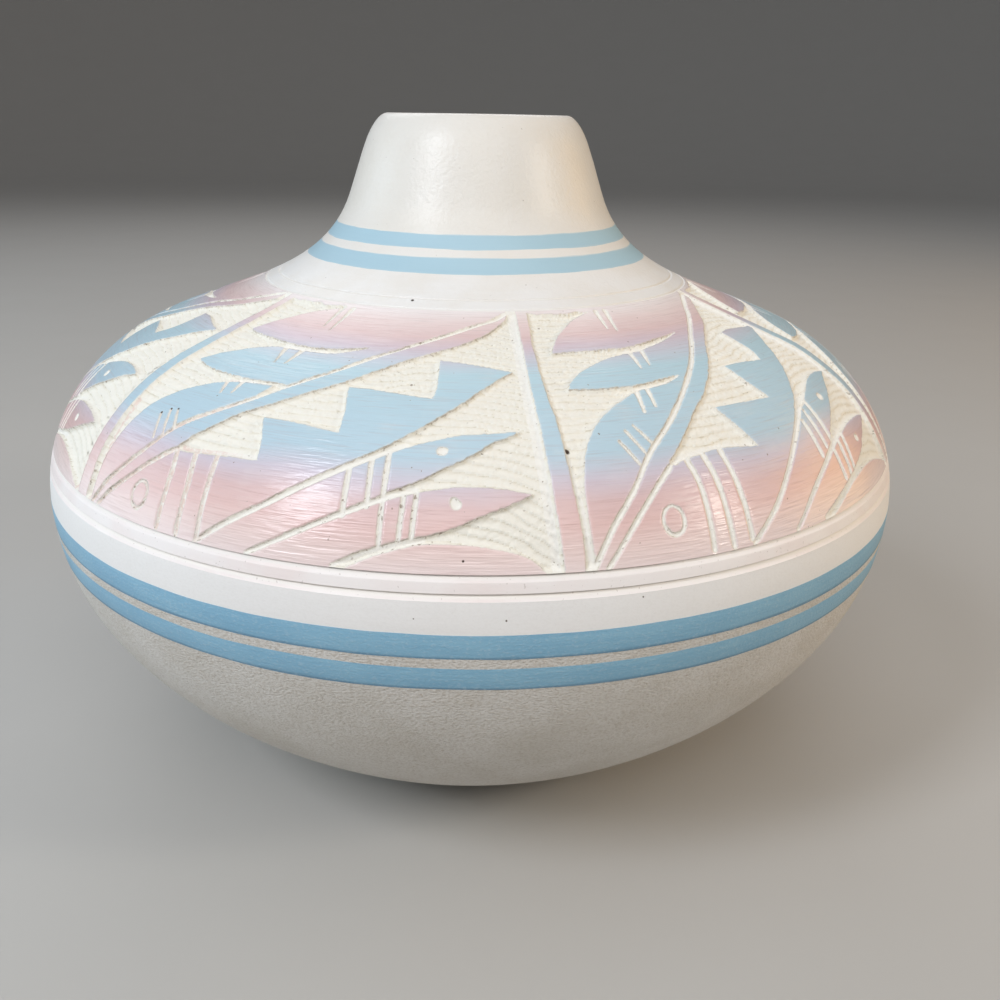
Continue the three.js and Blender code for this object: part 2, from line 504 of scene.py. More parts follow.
@dataclass(frozen=True)
class Turning:
    """Turns rows about the pot's axis into a skin."""

    hand: Hand
    columns: int

    @property
    def turn(self) -> Array:
        """Turns of the columns, in degrees."""
        return np.arange(self.columns) * 360.0 / self.columns

    def strayed(self, rows: Rows) -> Array:
        """Run of every row at every column, with the wavering band edges in it.

        Args:
            rows: the outline.
        Returns:
            The runs.
        """
        run = np.repeat(rows.run[:, None], self.columns, axis=1)
        for edge in np.unique(rows.edge[rows.edge > 0]):
            run[rows.edge == edge] += self.hand.waver(self.turn, int(edge))
        return run

    def sweep(self, rows: Rows, relief: Array | float = 0.0) -> tuple[Array, Array]:
        """Points of the turned rows.

        A point is the row's base, moved along the wall by its edge's waver and inward by the unevenness and
        the relief, then swung about the axis: x = radius sin(turn), y = -radius cos(turn).

        Args:
            rows: the outline.
            relief: extra depth for every row and column.
        Returns:
            Positions, and the run of each.
        """
        run = self.strayed(rows)
        shift = run - rows.run[:, None]
        along = np.stack([-rows.out[:, 1], rows.out[:, 0]], axis=-1)
        depth = rows.outer[:, None] * self.hand.unevenness(self.turn[None, :], run) + relief
        flat = rows.base[:, None] + along[:, None] * shift[..., None] - rows.out[:, None] * depth[..., None]
        return swing(self.turn[None, :], flat[..., 0], flat[..., 1]), run

    def closed(self, rows: Rows, relief: Array | float = 0.0, **values: Array) -> Skin:
        """A ring-shaped skin whose outline closes on itself.

        Args:
            rows: the outline, up the outside and down the inside.
            relief: extra depth for every row and column.
            values: attributes for every row and column, or for every row in one column.
        Returns:
            The skin.
        """
        points, run = self.sweep(rows, relief)
        skin = Skin()
        numbers = skin.add(points, run=run, **values)
        skin.weave(wrapped(np.concatenate([numbers, numbers[:1]])))
        return skin


def wrapped(numbers: Array) -> Array:
    """A grid of vertex numbers with its first column put once more after its last."""
    return np.concatenate([numbers, numbers[:, :1]], axis=1)


def swing(turn: Array, radius: Array, height: Array) -> Array:
    """Positions at turns, radii and heights: x = radius sin(turn), y = -radius cos(turn), z = height."""
    angle = np.radians(turn)
    return np.stack(np.broadcast_arrays(radius * np.sin(angle), -radius * np.cos(angle), height), axis=-1)


@dataclass(frozen=True)
class Stroke:
    """One pull of the tool: a smooth line of (turn, run) places, its width at both ends, and its depth."""

    line: Points
    start: float
    end: float
    depth: float = 0.5


def scraped(share: Array) -> Array:
    """Depth across a scraped line, (1 - share^2)^0.7, with share 0 at its middle and 1 at its edge."""
    return np.clip(1.0 - share**2, 0.0, 1.0) ** 0.7


def pulls(start: float, end: float, depth: float, *lines: Points) -> tuple[Stroke, ...]:
    """Several pulls of the tool that are alike in width and depth."""
    return tuple(Stroke(line, start, end, depth) for line in lines)


@dataclass(frozen=True)
class Ring:
    """A small oval scratched into the slip: its middle, half its width in degrees, half its height."""

    turn: float
    run: float
    wide: float = 1.2
    tall: float = 2.5
    corners: int = 13

    @property
    def line(self) -> Points:
        """The oval as a closed line: turn + wide cos a, run + tall sin a."""
        angles = np.linspace(0.0, 2.0 * np.pi, self.corners)
        return tuple((self.turn + self.wide * np.cos(a), self.run + self.tall * np.sin(a)) for a in angles)


@dataclass(frozen=True)
class Motif:
    """One repeat of the carving, as lines of (turn, run) places, with the turn from the repeat's own start.

    A bar stands at its left. A stem rises from the bar's foot to the right, with three leaves on its upper
    side. Under it lie a stepped field, two feathers and a mound, and what lies between is cut away.
    """

    bar_left: Points
    bar_right: Points
    bar_groove: Points
    stem_groove: Points
    stem_foot: Points
    stem_edge: Points
    low_leaf_top: Points
    middle_leaf_top: Points
    middle_leaf_base: Points
    high_leaf_top: Points
    high_leaf_base: Points
    low_split: Points
    high_split: Points
    shelf: Points
    steps: tuple[Points, ...]
    field_edge: Points
    field_line: Points
    high_feather_top: Points
    high_feather_base: Points
    feather_line: Points
    low_feather_top: Points
    low_feather_base: Points
    mound_line: Points
    mound: Points
    ticks: tuple[Stroke, ...]
    dots: tuple[Stroke, ...]
    ring: Ring
    below: float = 104.0
    above: float = 169.0
    lean: float = 0.4
    short: float = 0.3
    field_short: float = 0.5
    sky_lean: float = 1.0
    stem_lean: float = 1.5
    under_leaves: tuple[float, float] = (3.0, 2.0)
    beside_bar: float = 0.75
    over_shelf: float = 0.75

    @staticmethod
    def between(line: Points, low: float = -90.0, high: float = 90.0) -> Points:
        """The points of a line whose turns lie between two turns."""
        return tuple(point for point in line if low <= point[0] <= high)

    @staticmethod
    def drawn_in(line: Points, by: float = 0.8) -> Points:
        """A line drawn in at both ends by some degrees, so that the tool's round ends stay in a corner."""
        return ((line[0][0] + by, line[0][1]), *line[1:-1], (line[-1][0] - by, line[-1][1]))

    def grounded(self, line: Points) -> Points:
        """A line with a point put before it, straight below its start, under the carving's lower edge."""
        return ((line[0][0] - self.lean, self.below),) + line

    def lands(self) -> list[tuple[Points, ...]]:
        """The areas left standing.

        Returns:
            Each area as smooth stretches, with a corner where two meet.
        """
        stem, foot = self.grounded(self.stem_groove), self.grounded(self.stem_foot)
        field_line, feather_line = self.grounded(self.field_line), self.grounded(self.feather_line)
        mound_line = self.grounded(self.mound_line)
        low_end = self.low_leaf_top[-1][0]
        middle_end = self.middle_leaf_base[-1][0]
        high_end = self.high_leaf_base[-1][0]
        tops = (self.high_feather_top, self.low_feather_top)
        bases = (self.high_feather_base, self.low_feather_base)
        field_end, feather_end = (top[0][0] - self.short for top in tops)
        base_end, mound_end = (base[-1][0] - self.short for base in bases)
        stem_end = self.stem_groove[-1][0]
        sky = tuple((end + self.sky_lean, self.above) for end in (self.high_leaf_top[-1][0], stem_end))
        past_high, from_high = (high_end + by for by in self.under_leaves)
        return [
            (self.bar_left, self.bar_right[::-1]),
            (self.grounded(self.low_leaf_top), self.between(stem, high=low_end)[::-1]),
            (self.middle_leaf_top, self.between(stem, middle_end, past_high)[::-1],
             self.middle_leaf_base[::-1]),
            (self.high_leaf_top, sky, self.between(stem, from_high)[::-1], self.high_leaf_base[::-1]),
            (stem, ((stem_end + self.stem_lean, self.above),), self.stem_edge[::-1], foot[::-1]),
            (foot, self.shelf, *self.steps, self.field_edge[::-1],
             self.between(field_line, high=self.field_edge[0][0] - self.field_short)[::-1]),
            (self.between(field_line, high=field_end), self.high_feather_top, self.high_feather_base,
             self.between(feather_line, high=base_end)[::-1]),
            (self.between(feather_line, high=feather_end), self.low_feather_top, self.low_feather_base,
             self.between(mound_line, high=mound_end)[::-1]),
            (self.mound, ((self.mound[-1][0], self.below), (self.mound[0][0], self.below))),
        ]

    def strokes(self) -> list[Stroke]:
        """The cut lines, with the strokes that only scratch the slip.

        Returns:
            The strokes.
        """
        beside = tuple((turn - self.beside_bar, run) for turn, run in self.bar_left)
        over = tuple((turn, run + self.over_shelf) for turn, run in self.shelf)
        cuts = [
            Stroke(beside, 1.9, 1.7, 0.9),
            Stroke(self.bar_groove, 0.8, 1.3, 0.7),
            Stroke(self.stem_groove, 1.0, 1.05, 0.62),
            Stroke(self.stem_foot, 0.85, 1.1, 0.6),
            Stroke(self.low_split, 1.2, 0.3, 0.55),
            Stroke(self.high_split, 1.7, 0.25, 0.55),
            Stroke(self.field_line, 0.95, 1.5, 0.62),
            Stroke(self.feather_line, 0.85, 1.3, 0.62),
            Stroke(self.mound_line, 0.85, 1.2, 0.6),
            Stroke(self.drawn_in(over), 1.2, 1.1, 0.85),
            Stroke(self.ring.line, 0.6, 0.75, 0.3),
        ]
        return cuts + list(self.ticks) + list(self.dots)


class Cut(Enum):
    """The two slightly different ways in which the repeats were drawn and cut, in turn round the pot."""

    FIRST = Motif(
        bar_left=((-0.1, 169), (-0.1, 160), (-0.2, 150), (-0.3, 138), (-0.4, 120), (-0.2, 110), (0.0, 104)),
        bar_right=((2.8, 169), (2.6, 160), (2.4, 150), (2.3, 140), (2.0, 130), (1.8, 120), (2.2, 110),
                   (2.2, 104)),
        bar_groove=((2.2, 128), (2.5, 120), (2.9, 113), (3.1, 106.4)),
        stem_groove=((4.0, 106.3), (6.1, 111.5), (9.3, 117.5), (13.3, 125.2), (17.3, 130), (21.3, 134.2),
                     (25.3, 139), (31.3, 146), (35.3, 150.6), (39.3, 154.2), (43.3, 157.2), (47.3, 160),
                     (51.3, 162.7), (55.3, 164.8), (57.5, 166.6)),
        stem_foot=((5.3, 106.3), (7.3, 110), (10.3, 114.5), (12.3, 117.5), (15.2, 121.2)),
        stem_edge=((15.4, 122.2), (17.3, 125.3), (21.3, 130.8), (25.3, 134.5), (29.3, 138.5), (33.3, 142.5),
                   (37.3, 147), (41.3, 150.8), (45.3, 153.5), (49.3, 156.3), (53.3, 159.7), (57.5, 164.5)),
        low_leaf_top=((3.6, 106), (3.6, 115), (4.4, 122), (6.1, 128), (9.3, 132.7), (13.3, 136.2), (18, 138),
                      (23, 138.4)),
        middle_leaf_top=((5.6, 141.2), (6.8, 143), (8.3, 144.8), (12.3, 148), (16.3, 149.8), (22.3, 149.8),
                         (27.3, 150.1), (31, 151.8), (34, 153.4)),
        middle_leaf_base=((5.6, 141.2), (7.3, 140.3), (11.3, 139.6), (17.3, 139.2), (23.5, 139.4)),
        high_leaf_top=((5.8, 153.7), (7.8, 157.2), (10.3, 160), (13.3, 162.8), (17.3, 164.9), (22, 166.6)),
        high_leaf_base=((5.8, 153.7), (9.3, 152.8), (13.3, 152.4), (21.3, 151.5), (27.3, 152), (32.4, 153.3)),
        low_split=((15.0, 138.2), (18.5, 138.6), (21.3, 138.9), (24.3, 138.9)),
        high_split=((17.3, 150.9), (21.3, 150.7), (25.5, 150.9), (29.3, 151.8), (33, 153.2)),
        shelf=((15.2, 121.2), (17.3, 121.1), (21.3, 121.8), (26.9, 122.3)),
        steps=(((26.9, 122.3), (26.1, 127), (25.0, 130.9)), ((25.0, 130.9), (29.3, 130.8), (35.4, 129.7)),
               ((35.4, 129.7), (35.0, 135), (34.0, 140.6)), ((34.0, 140.6), (38.3, 140.3), (45.8, 138.8)),
               ((45.8, 138.8), (46.1, 143), (45.7, 150.5)), ((45.7, 150.5), (50.3, 149.5), (56.9, 146.9))),
        field_edge=((38.6, 125.2), (41.3, 127.6), (45.3, 132.3), (49.3, 137.3), (53.3, 143), (56.9, 146.9)),
        field_line=((22.0, 106.4), (25.3, 110.6), (29.3, 114.9), (33.3, 119.3), (37.3, 123.2), (40.5, 125.9),
                    (43.5, 128.4)),
        high_feather_top=((42.1, 126.6), (45.3, 128.5), (49.3, 130.3), (53.3, 130.9), (56.5, 131.2)),
        high_feather_base=((56.5, 131.2), (53.3, 128.8), (49.3, 125), (45.3, 121.5), (42.3, 119.3)),
        feather_line=((28.3, 106.3), (31.3, 109.2), (35.3, 112.9), (39.3, 116.2), (43.0, 118.9), (45.3, 120)),
        low_feather_top=((43.3, 118.6), (46.3, 119.8), (50.3, 120.7), (54.3, 120.3), (57.2, 119.3)),
        low_feather_base=((57.2, 119.3), (53.3, 116.6), (49.3, 113.8), (45.3, 111.6)),
        mound_line=((37.6, 106.4), (40.3, 108.7), (43.3, 110.5), (46.3, 111.6)),
        mound=((38.8, 106.2), (42.3, 109), (46.3, 110.8), (50.3, 111), (54.3, 110), (56.6, 108.6),
               (58.2, 106.2)),
        ticks=(
            *pulls(1.1, 0.3, 0.3, ((20.2, 166.3), (20.4, 159)), ((22.9, 166), (22.6, 158))),
            *pulls(1.1, 0.3, 0.4, ((18.4, 150.3), (19.3, 145))),
            *pulls(1.2, 0.3, 0.4, ((22, 150.3), (21.3, 145.2))),
            *pulls(1.0, 0.35, 0.4, ((15.3, 138), (15.9, 134.4)), ((17.9, 138), (17.7, 135))),
            *pulls(0.6, 0.45, 0.35, ((10.5, 121.9), (9.1, 126.7)), ((11.7, 123), (10.3, 128)),
                   ((12.9, 125), (11.5, 128.4))),
            *pulls(1.1, 1.0, 0.5, ((15.6, 121), (16.3, 116), (16.4, 106.6)),
                   ((18.5, 121.4), (19.2, 115), (19.3, 106.6)), ((21.6, 121.7), (21.9, 115), (22.1, 106.6))),
            *pulls(1.0, 1.0, 0.5, ((37.8, 123.8), (38.0, 114.8))),
            *pulls(1.0, 0.9, 0.5, ((40.1, 125.5), (40.4, 116.6)), ((41.9, 126.9), (42.0, 110))),
            *pulls(0.9, 0.8, 0.5, ((44.1, 119), (43.9, 110.8)), ((45.4, 119.3), (45.2, 112))),
        ),
        dots=(Stroke(((47.6, 127.2), (47.8, 127.2)), 1.7, 1.7, 0.3),
              Stroke(((49.3, 118.1), (49.5, 117.6)), 1.5, 1.7, 0.3)),
        ring=Ring(12.5, 111.3),
    )
    SECOND = Motif(
        bar_left=((-0.2, 169), (-0.4, 162), (-0.8, 150), (-1.0, 143), (-1.0, 135), (-0.6, 121), (-0.1, 110),
                  (0.1, 104)),
        bar_right=((3.0, 169), (1.9, 161), (1.3, 155), (0.9, 145), (0.9, 140), (1.2, 133), (1.6, 121),
                   (2.1, 110), (1.9, 104)),
        bar_groove=((1.7, 127), (2.0, 121), (2.4, 116), (2.6, 111), (2.8, 106.4)),
        stem_groove=((2.9, 106.3), (5.3, 113), (8.3, 119), (11.3, 125.3), (15.3, 130.7), (19.3, 136),
                     (23.3, 141), (27.3, 145.5), (31.3, 150), (35.3, 154), (39.3, 157.2), (43.3, 160),
                     (47.3, 162.8), (51.3, 164.9), (55.5, 166.8)),
        stem_foot=((4.4, 106.3), (7.3, 112.5), (10.3, 118), (13.2, 122.4)),
        stem_edge=((13.4, 123.5), (15.3, 126), (19.3, 131.8), (23.3, 136.2), (27.3, 140.7), (31.3, 145.6),
                   (35.3, 150), (39.3, 153.5), (43.3, 156.2), (47.3, 159.3), (51.3, 162.2), (56, 165)),
        low_leaf_top=((3.0, 106), (2.8, 116), (3.0, 122), (4.2, 128), (6.3, 132.5), (9.8, 136.5),
                      (13.8, 139.2), (18.3, 140.2), (21, 141.4), (23.8, 142.9)),
        middle_leaf_top=((4.2, 141.2), (4.8, 143), (7.1, 146), (11.3, 149), (15.3, 150.5), (20, 151.2),
                         (23.3, 152.4), (27.3, 153.6), (30.5, 154.9), (33.5, 156.8)),
        middle_leaf_base=((4.2, 141.2), (9, 140.9), (15.3, 141.1), (18.3, 141.8), (22.3, 142.4)),
        high_leaf_top=((4.2, 152.6), (5.3, 155.5), (7.3, 159), (11.3, 163.3), (15.3, 165.5), (19, 166.8)),
        high_leaf_base=((4.2, 152.6), (8, 153), (18.5, 153), (22.3, 153.8), (28, 154.9), (33, 155.6)),
        low_split=((14.3, 140.2), (17.3, 140.9), (19.5, 141.4), (21.6, 142.2)),
        high_split=((17.8, 152), (21.3, 152.8), (24.3, 153.5), (28.3, 154.5), (32.0, 155.5)),
        shelf=((13.2, 122.4), (15.3, 123.2), (19.3, 124.2), (22.3, 124.1), (26.6, 123.2)),
        steps=(((26.6, 123.2), (25.3, 127), (23.6, 132.8)), ((23.6, 132.8), (28.3, 132.7), (34.2, 132.2)),
               ((34.2, 132.2), (33.0, 137.5), (32.5, 142.4)), ((32.5, 142.4), (36.3, 142.3), (41.8, 141.2)),
               ((41.8, 141.2), (43.4, 145), (43.7, 152)),
               ((43.7, 152), (47, 152.2), (50.3, 151.5), (56.1, 150.1))),
        field_edge=((36.8, 127.6), (39.3, 130.5), (43.3, 135.9), (47.3, 141.1), (51.3, 145.8), (56.1, 150.1)),
        field_line=((21.4, 106.4), (25.3, 111.4), (29.3, 117.2), (33.3, 122.5), (37.3, 127), (41.5, 130.9)),
        high_feather_top=((39.8, 128), (43.3, 130.6), (47.3, 132.5), (51.3, 132.8), (54.3, 131.8)),
        high_feather_base=((54.3, 131.8), (51.3, 130), (47.3, 126.5), (43.3, 122.8), (41.3, 121)),
        feather_line=((28.0, 106.4), (32.3, 112), (36.3, 115.6), (40.3, 118.6), (44.3, 120.6)),
        low_feather_top=((39.3, 117.4), (43.3, 119.3), (47.3, 120.4), (51.3, 120.3), (54.6, 119.3)),
        low_feather_base=((54.6, 119.3), (51.3, 117.3), (47.3, 114.5), (43.3, 112.4)),
        mound_line=((33.4, 106.5), (37.3, 108.8), (41.3, 110.8), (45.3, 112.3)),
        mound=((35.2, 106.2), (39.3, 109), (43.3, 110.7), (47.3, 111.2), (51.3, 110.3), (55.3, 107.9),
               (57.6, 106.2)),
        ticks=(
            *pulls(1.1, 0.35, 0.3, ((19.3, 166.3), (18.3, 160)), ((21.9, 166.3), (19.9, 159))),
            *pulls(1.1, 0.35, 0.4, ((17.9, 151.2), (17.4, 145.8))),
            *pulls(1.2, 0.3, 0.4, ((20.7, 152.2), (19.3, 146.5))),
            *pulls(1.0, 0.5, 0.4, ((13.6, 139.4), (13.0, 134))),
            *pulls(1.0, 0.45, 0.4, ((15.5, 140), (15.0, 135))),
            *pulls(0.6, 0.5, 0.35, ((9.7, 123.5), (8.1, 128.2)), ((11, 125), (9.3, 130.3))),
            *pulls(0.6, 0.45, 0.35, ((12.3, 126.6), (10.6, 131.3))),
            *pulls(1.2, 1.0, 0.5, ((15.6, 123), (16.2, 118), (16.2, 106.8))),
            *pulls(1.2, 1.1, 0.5, ((17.9, 123.8), (18.5, 118), (18.7, 106.6)),
                   ((20.5, 124), (21.0, 118), (21.2, 107.3))),
            *pulls(1.1, 1.0, 0.5, ((36.9, 125), (36.8, 117.5)), ((38.8, 126.8), (38.6, 118.8)),
                   ((39.8, 118), (39.9, 111.6)), ((41.9, 118.9), (41.6, 111.9))),
            *pulls(1.3, 1.2, 0.5, ((40.6, 128.4), (40.5, 119.5))),
            *pulls(1.1, 0.9, 0.5, ((43.7, 119.6), (42.9, 112.5))),
        ),
        dots=(Stroke(((45.3, 128), (45.5, 128)), 1.7, 1.7, 0.3),
              Stroke(((47.4, 117), (47.6, 117)), 1.6, 1.6, 0.3)),
        ring=Ring(12.0, 113.0),
    )


@dataclass(frozen=True)
class Sheet:
    """The shoulder laid flat so that angles keep.

    x = circle * turn in radians, and y = sum of circle / radius * step along the wall. A distance on the
    sheet, times the wall's radius over the circle, is a distance on the clay.
    """

    wall: WallLine
    circle: float = 85.0
    steps: int = 6

    @cached_property
    def climb(self) -> tuple[Array, Array]:
        """How the sheet's y grows up the wall.

        Returns:
            Runs along the wall, and the sheet's y at each.
        """
        points, runs = self.wall.line
        middles = 0.5 * (points[1:, 0] + points[:-1, 0])
        return runs, np.concatenate([[0.0], np.cumsum(self.circle * np.diff(runs) / middles)])

    def spread(self, turn: Array, run: Array) -> Array:
        """The sheet's x and y at turns and runs, stacked last."""
        x, y = np.broadcast_arrays(self.circle * np.radians(turn), np.interp(run, *self.climb))
        return np.stack([x, y], axis=-1)

    def scale(self, run: Array) -> Array:
        """Millimetres of clay in one step of the sheet, at runs."""
        return self.wall.place(run)[0] / self.circle

    def curve(self, line: Points) -> Array:
        """A smooth line through places, on the sheet.

        Between b and c, with a before and d after, the point at t is half of 2b + (c - a)t +
        (2a - 5b + 4c - d)t^2 + (3b - a - 3c + d)t^3. A line of two places stays straight.

        Args:
            line: places as turn and run.
        Returns:
            Points on the sheet.
        """
        known = np.asarray(line, float)
        if len(known) > 2:
            ends = 2 * known[[0, -1]] - known[[1, -2]]
            padded = np.concatenate([ends[:1], known, ends[1:]])
            a, b, c, d = padded[:-3], padded[1:-2], padded[2:-1], padded[3:]
            t = (np.arange(self.steps) / self.steps)[:, None, None]
            bent = (2 * a - 5 * b + 4 * c - d) * t**2 + (3 * b - a - 3 * c + d) * t**3
            spans = 0.5 * (2 * b + (c - a) * t + bent)
            known = np.concatenate([spans.transpose(1, 0, 2).reshape(-1, 2), known[-1:]])
        return self.spread(known[:, 0], known[:, 1])


def near(places: Array, line: Array, reach: float) -> Array:
    """Which places lie inside the upright box round a line, widened by a reach."""
    return np.all((places > line.min(axis=0) - reach) & (places < line.max(axis=0) + reach), axis=-1)


def gap_to(places: Array, line: Array) -> tuple[Array, Array]:
    """Distance from places to a line of straight steps, from the foot of the square dropped on each step.

    Args:
        places: points, one in each row.
        line: the line's corners, in order.
    Returns:
        The distances, and how far along the line its nearest point lies, from 0 to 1.
    """
    step = np.diff(line, axis=0)
    offset = places[:, None] - line[None, :-1]
    share = np.clip((offset * step).sum(-1) / np.maximum((step**2).sum(-1), 1e-12), 0.0, 1.0)
    gaps = np.hypot(*np.moveaxis(offset - share[..., None] * step, -1, 0))
    nearest = gaps.argmin(axis=1)
    row = np.arange(len(places))
    return gaps[row, nearest], (nearest + share[row, nearest]) / len(step)


def within(places: Array, loop: Array) -> Array:
    """Which places lie inside a loop: a line from them towards +x crosses it an odd number of times.

    Args:
        places: points, one in each row.
        loop: the loop's corners, in order.
    Returns:
        Whether each place lies inside.
    """
    x, y = places[:, :1], places[:, 1:]
    start, end = loop, np.roll(loop, -1, axis=0)
    spans = (start[:, 1] > y) != (end[:, 1] > y)
    rise = np.where(end[:, 1] == start[:, 1], 1.0, end[:, 1] - start[:, 1])
    crossing = start[:, 0] + (y - start[:, 1]) * (end[:, 0] - start[:, 0]) / rise
    return (spans & (x < crossing)).sum(axis=1) % 2 == 1


@dataclass
class Drawn:
    """The carving's drawing at a set of places, filled in stroke by stroke.

    Land is the distance inside the nearest area left standing, less than zero outside it. Line is the
    distance inside the nearest cut line, and depth how deep that line goes.
    """

    land: Array
    line: Array
    depth: Array

    def stand(self, chosen: Array, distance: Array) -> None:
        """Leaves an area standing, given the distance inside it."""
        self.land[chosen] = np.maximum(self.land[chosen], distance)

    def pull(self, chosen: Array, distance: Array, depth: Array) -> None:
        """Cuts a line, given the distance inside it and its depth."""
        self.line[chosen] = np.maximum(self.line[chosen], distance)
        self.depth[chosen] = np.maximum(self.depth[chosen], depth)


@dataclass(frozen=True)
class Patch:
    """A layer of noise: the width of its patches in degrees and their height, its level, and its share."""

    wide: float
    tall: float
    level: int
    share: float = 1.0


@dataclass(frozen=True)
class Carving:
    """The cut decoration: six repeats of the drawing round the shoulder, and how deep the tool went."""

    sheet: Sheet
    low_rim: float
    repeats: tuple[tuple[float, Cut], ...] = (
        (-51.3, Cut.FIRST), (8.7, Cut.SECOND), (65.9, Cut.FIRST),
        (126.5, Cut.SECOND), (187.0, Cut.FIRST), (250.4, Cut.SECOND),
    )
    copied_from: int = 2
    own_turns: tuple[float, float] = (-6.0, 64.0)
    ground_turns: tuple[float, float] = (0.0, 60.0)
    top_land: float = 166.6
    top_wander: tuple[Patch, ...] = (Patch(2.3, np.inf, 7, 0.4),)
    top_fade: tuple[float, float] = (-0.9, 0.5)
    low_fade: tuple[float, float] = (0.1, 0.9)
    ground_depth: float = 0.62
    wall_width: float = 0.36
    scoop_depth: float = 0.34
    scoop_spacing: float = 1.8
    scoop_shape: tuple[float, float] = (1.2, 0.7)
    scoop_start: tuple[float, float] = (0.3, 1.0)
    scoop_wander: tuple[Patch, ...] = (Patch(3.1, 2.6, 3, 0.45),)
    crumbs: tuple[Patch, ...] = (Patch(0.35, 0.6, 8, 0.09), Patch(0.9, 1.3, 9, 0.07))
    chips: tuple[Patch, ...] = (Patch(0.38, 0.55, 5), Patch(2.0, 3.0, 6))
    bow_middle: float = 47.0
    bow_reach: tuple[float, float] = (-8.0, 14.0)
    bow_runs: tuple[float, float] = (112.0, 125.0)
    bows: tuple[float, float] = (0.045, 0.025)
    droop_turns: tuple[float, float] = (5.0, 14.0)
    droop: float = 0.03
    fall: float = 0.3
    raggedness: float = 0.13
    ragged_edges: tuple[float, float] = (0.6, 0.5)
    ragged_lines: float = 0.8
    line_depth: float = 0.8
    wander: float = 0.45
    wandering: Patch = Patch(9.0, 7.0, 20)
    reach: float = 3.0
    stroke_reach: float = 2.0
    grain: Grain = Grain(23)

    @staticmethod
    def since(turn: Array, start: float) -> Array:
        """How far turns lie past a start, from -180 to 180 degrees."""
        return (turn - start + 180.0) % 360.0 - 180.0

    def layered(self, patches: Iterable[Patch], turn: Array, run: Array) -> Array:
        """Sum of layers of noise at places."""
        return sum(layer.share * self.grain(turn / layer.wide, run / layer.tall, layer.level)
                   for layer in patches)

    def drawn(self, turn: Array, run: Array) -> Drawn:
        """The drawing at places, from every repeat that reaches them.

        The repeats that nobody sees in front wander a little from their drawing, by slow noise.

        Args:
            turn, run: places, as two arrays of one shape.
        Returns:
            The drawing there.
        """
        found = Drawn(*(np.full(turn.shape, value) for value in (-self.reach, -self.reach, 0.0)))
        rim = self.layered(self.top_wander, turn, run)
        found.land = np.maximum(found.land, run - self.top_land + rim)
        for number, (start, cut) in enumerate(self.repeats):
            own = self.since(turn, start)
            chosen = (own > self.own_turns[0]) & (own < self.own_turns[1])
            stray = self.wander * (number >= self.copied_from)
            own, up = own[chosen], run[chosen]
            patches = (own / self.wandering.wide, up / self.wandering.tall)
            sideways = stray * self.grain(*patches, number)
            upward = stray * self.grain(*patches, number + self.wandering.level)
            if own.size:
                self.draw(found, chosen, own + sideways, up + upward, cut.value)
        return found

    def draw(self, found: Drawn, chosen: Array, turn: Array, run: Array, motif: Motif) -> None:
        """Draws one repeat.

        Args:
            found: the drawing to fill in.
            chosen: which of its places the repeat may reach.
            turn, run: those places, from the repeat's own start.
            motif: the repeat's lines.
        """
        places = self.sheet.spread(turn, run)
        scale = self.sheet.scale(run)
        where = np.flatnonzero(chosen)
        land, line, depth = (block.reshape(-1) for block in (found.land, found.line, found.depth))
        flat = Drawn(land, line, depth)
        reach = self.reach / scale.min()
        for area in motif.lands():
            loop = np.concatenate([self.sheet.curve(stretch) for stretch in area])
            close = near(places, loop, reach)
            gap = gap_to(places[close], np.concatenate([loop, loop[:1]]))[0]
            inside = np.where(within(places[close], loop), 1.0, -1.0)
            flat.stand(where[close], inside * gap * scale[close])
        for stroke in motif.strokes():
            path = self.sheet.curve(stroke.line)
            close = near(places, path, self.stroke_reach * reach / self.reach)
            gap, share = gap_to(places[close], path)
            half = 0.5 * (stroke.start + (stroke.end - stroke.start) * share)
            gap = gap * scale[close]
            flat.pull(where[close], half - gap, self.line_depth * stroke.depth * scraped(gap / half))

    def ridges(self, turn: Array, run: Array) -> Array:
        """Phase of the scoops that clear the ground, in millimetres up the wall.

        It is the run, plus a bow about each repeat's middle under the stem, and a droop to the right above
        it, so that the scoops follow the stem on both sides, plus slow noise.

        Args:
            turn, run: places.
        Returns:
            The phase.
        """
        phase = run + self.layered(self.scoop_wander, turn, run)
        first, last = self.droop_turns
        for start, cut in self.repeats:
            own = self.since(turn, start)
            stem = np.asarray(cut.value.stem_groove)
            below = run < np.interp(own, *stem.T)
            bow = np.interp(run, self.bow_runs, self.bows)
            bow = bow * np.clip(own - self.bow_middle, *self.bow_reach) ** 2
            droop = self.droop * np.clip(own - first, 0.0, last - first) ** 2
            droop = droop + self.fall * np.clip(own - last, *self.ground_turns)
            here = (own >= self.ground_turns[0]) & (own < self.ground_turns[1])
            phase = phase + here * np.where(below, bow, droop)
        return phase

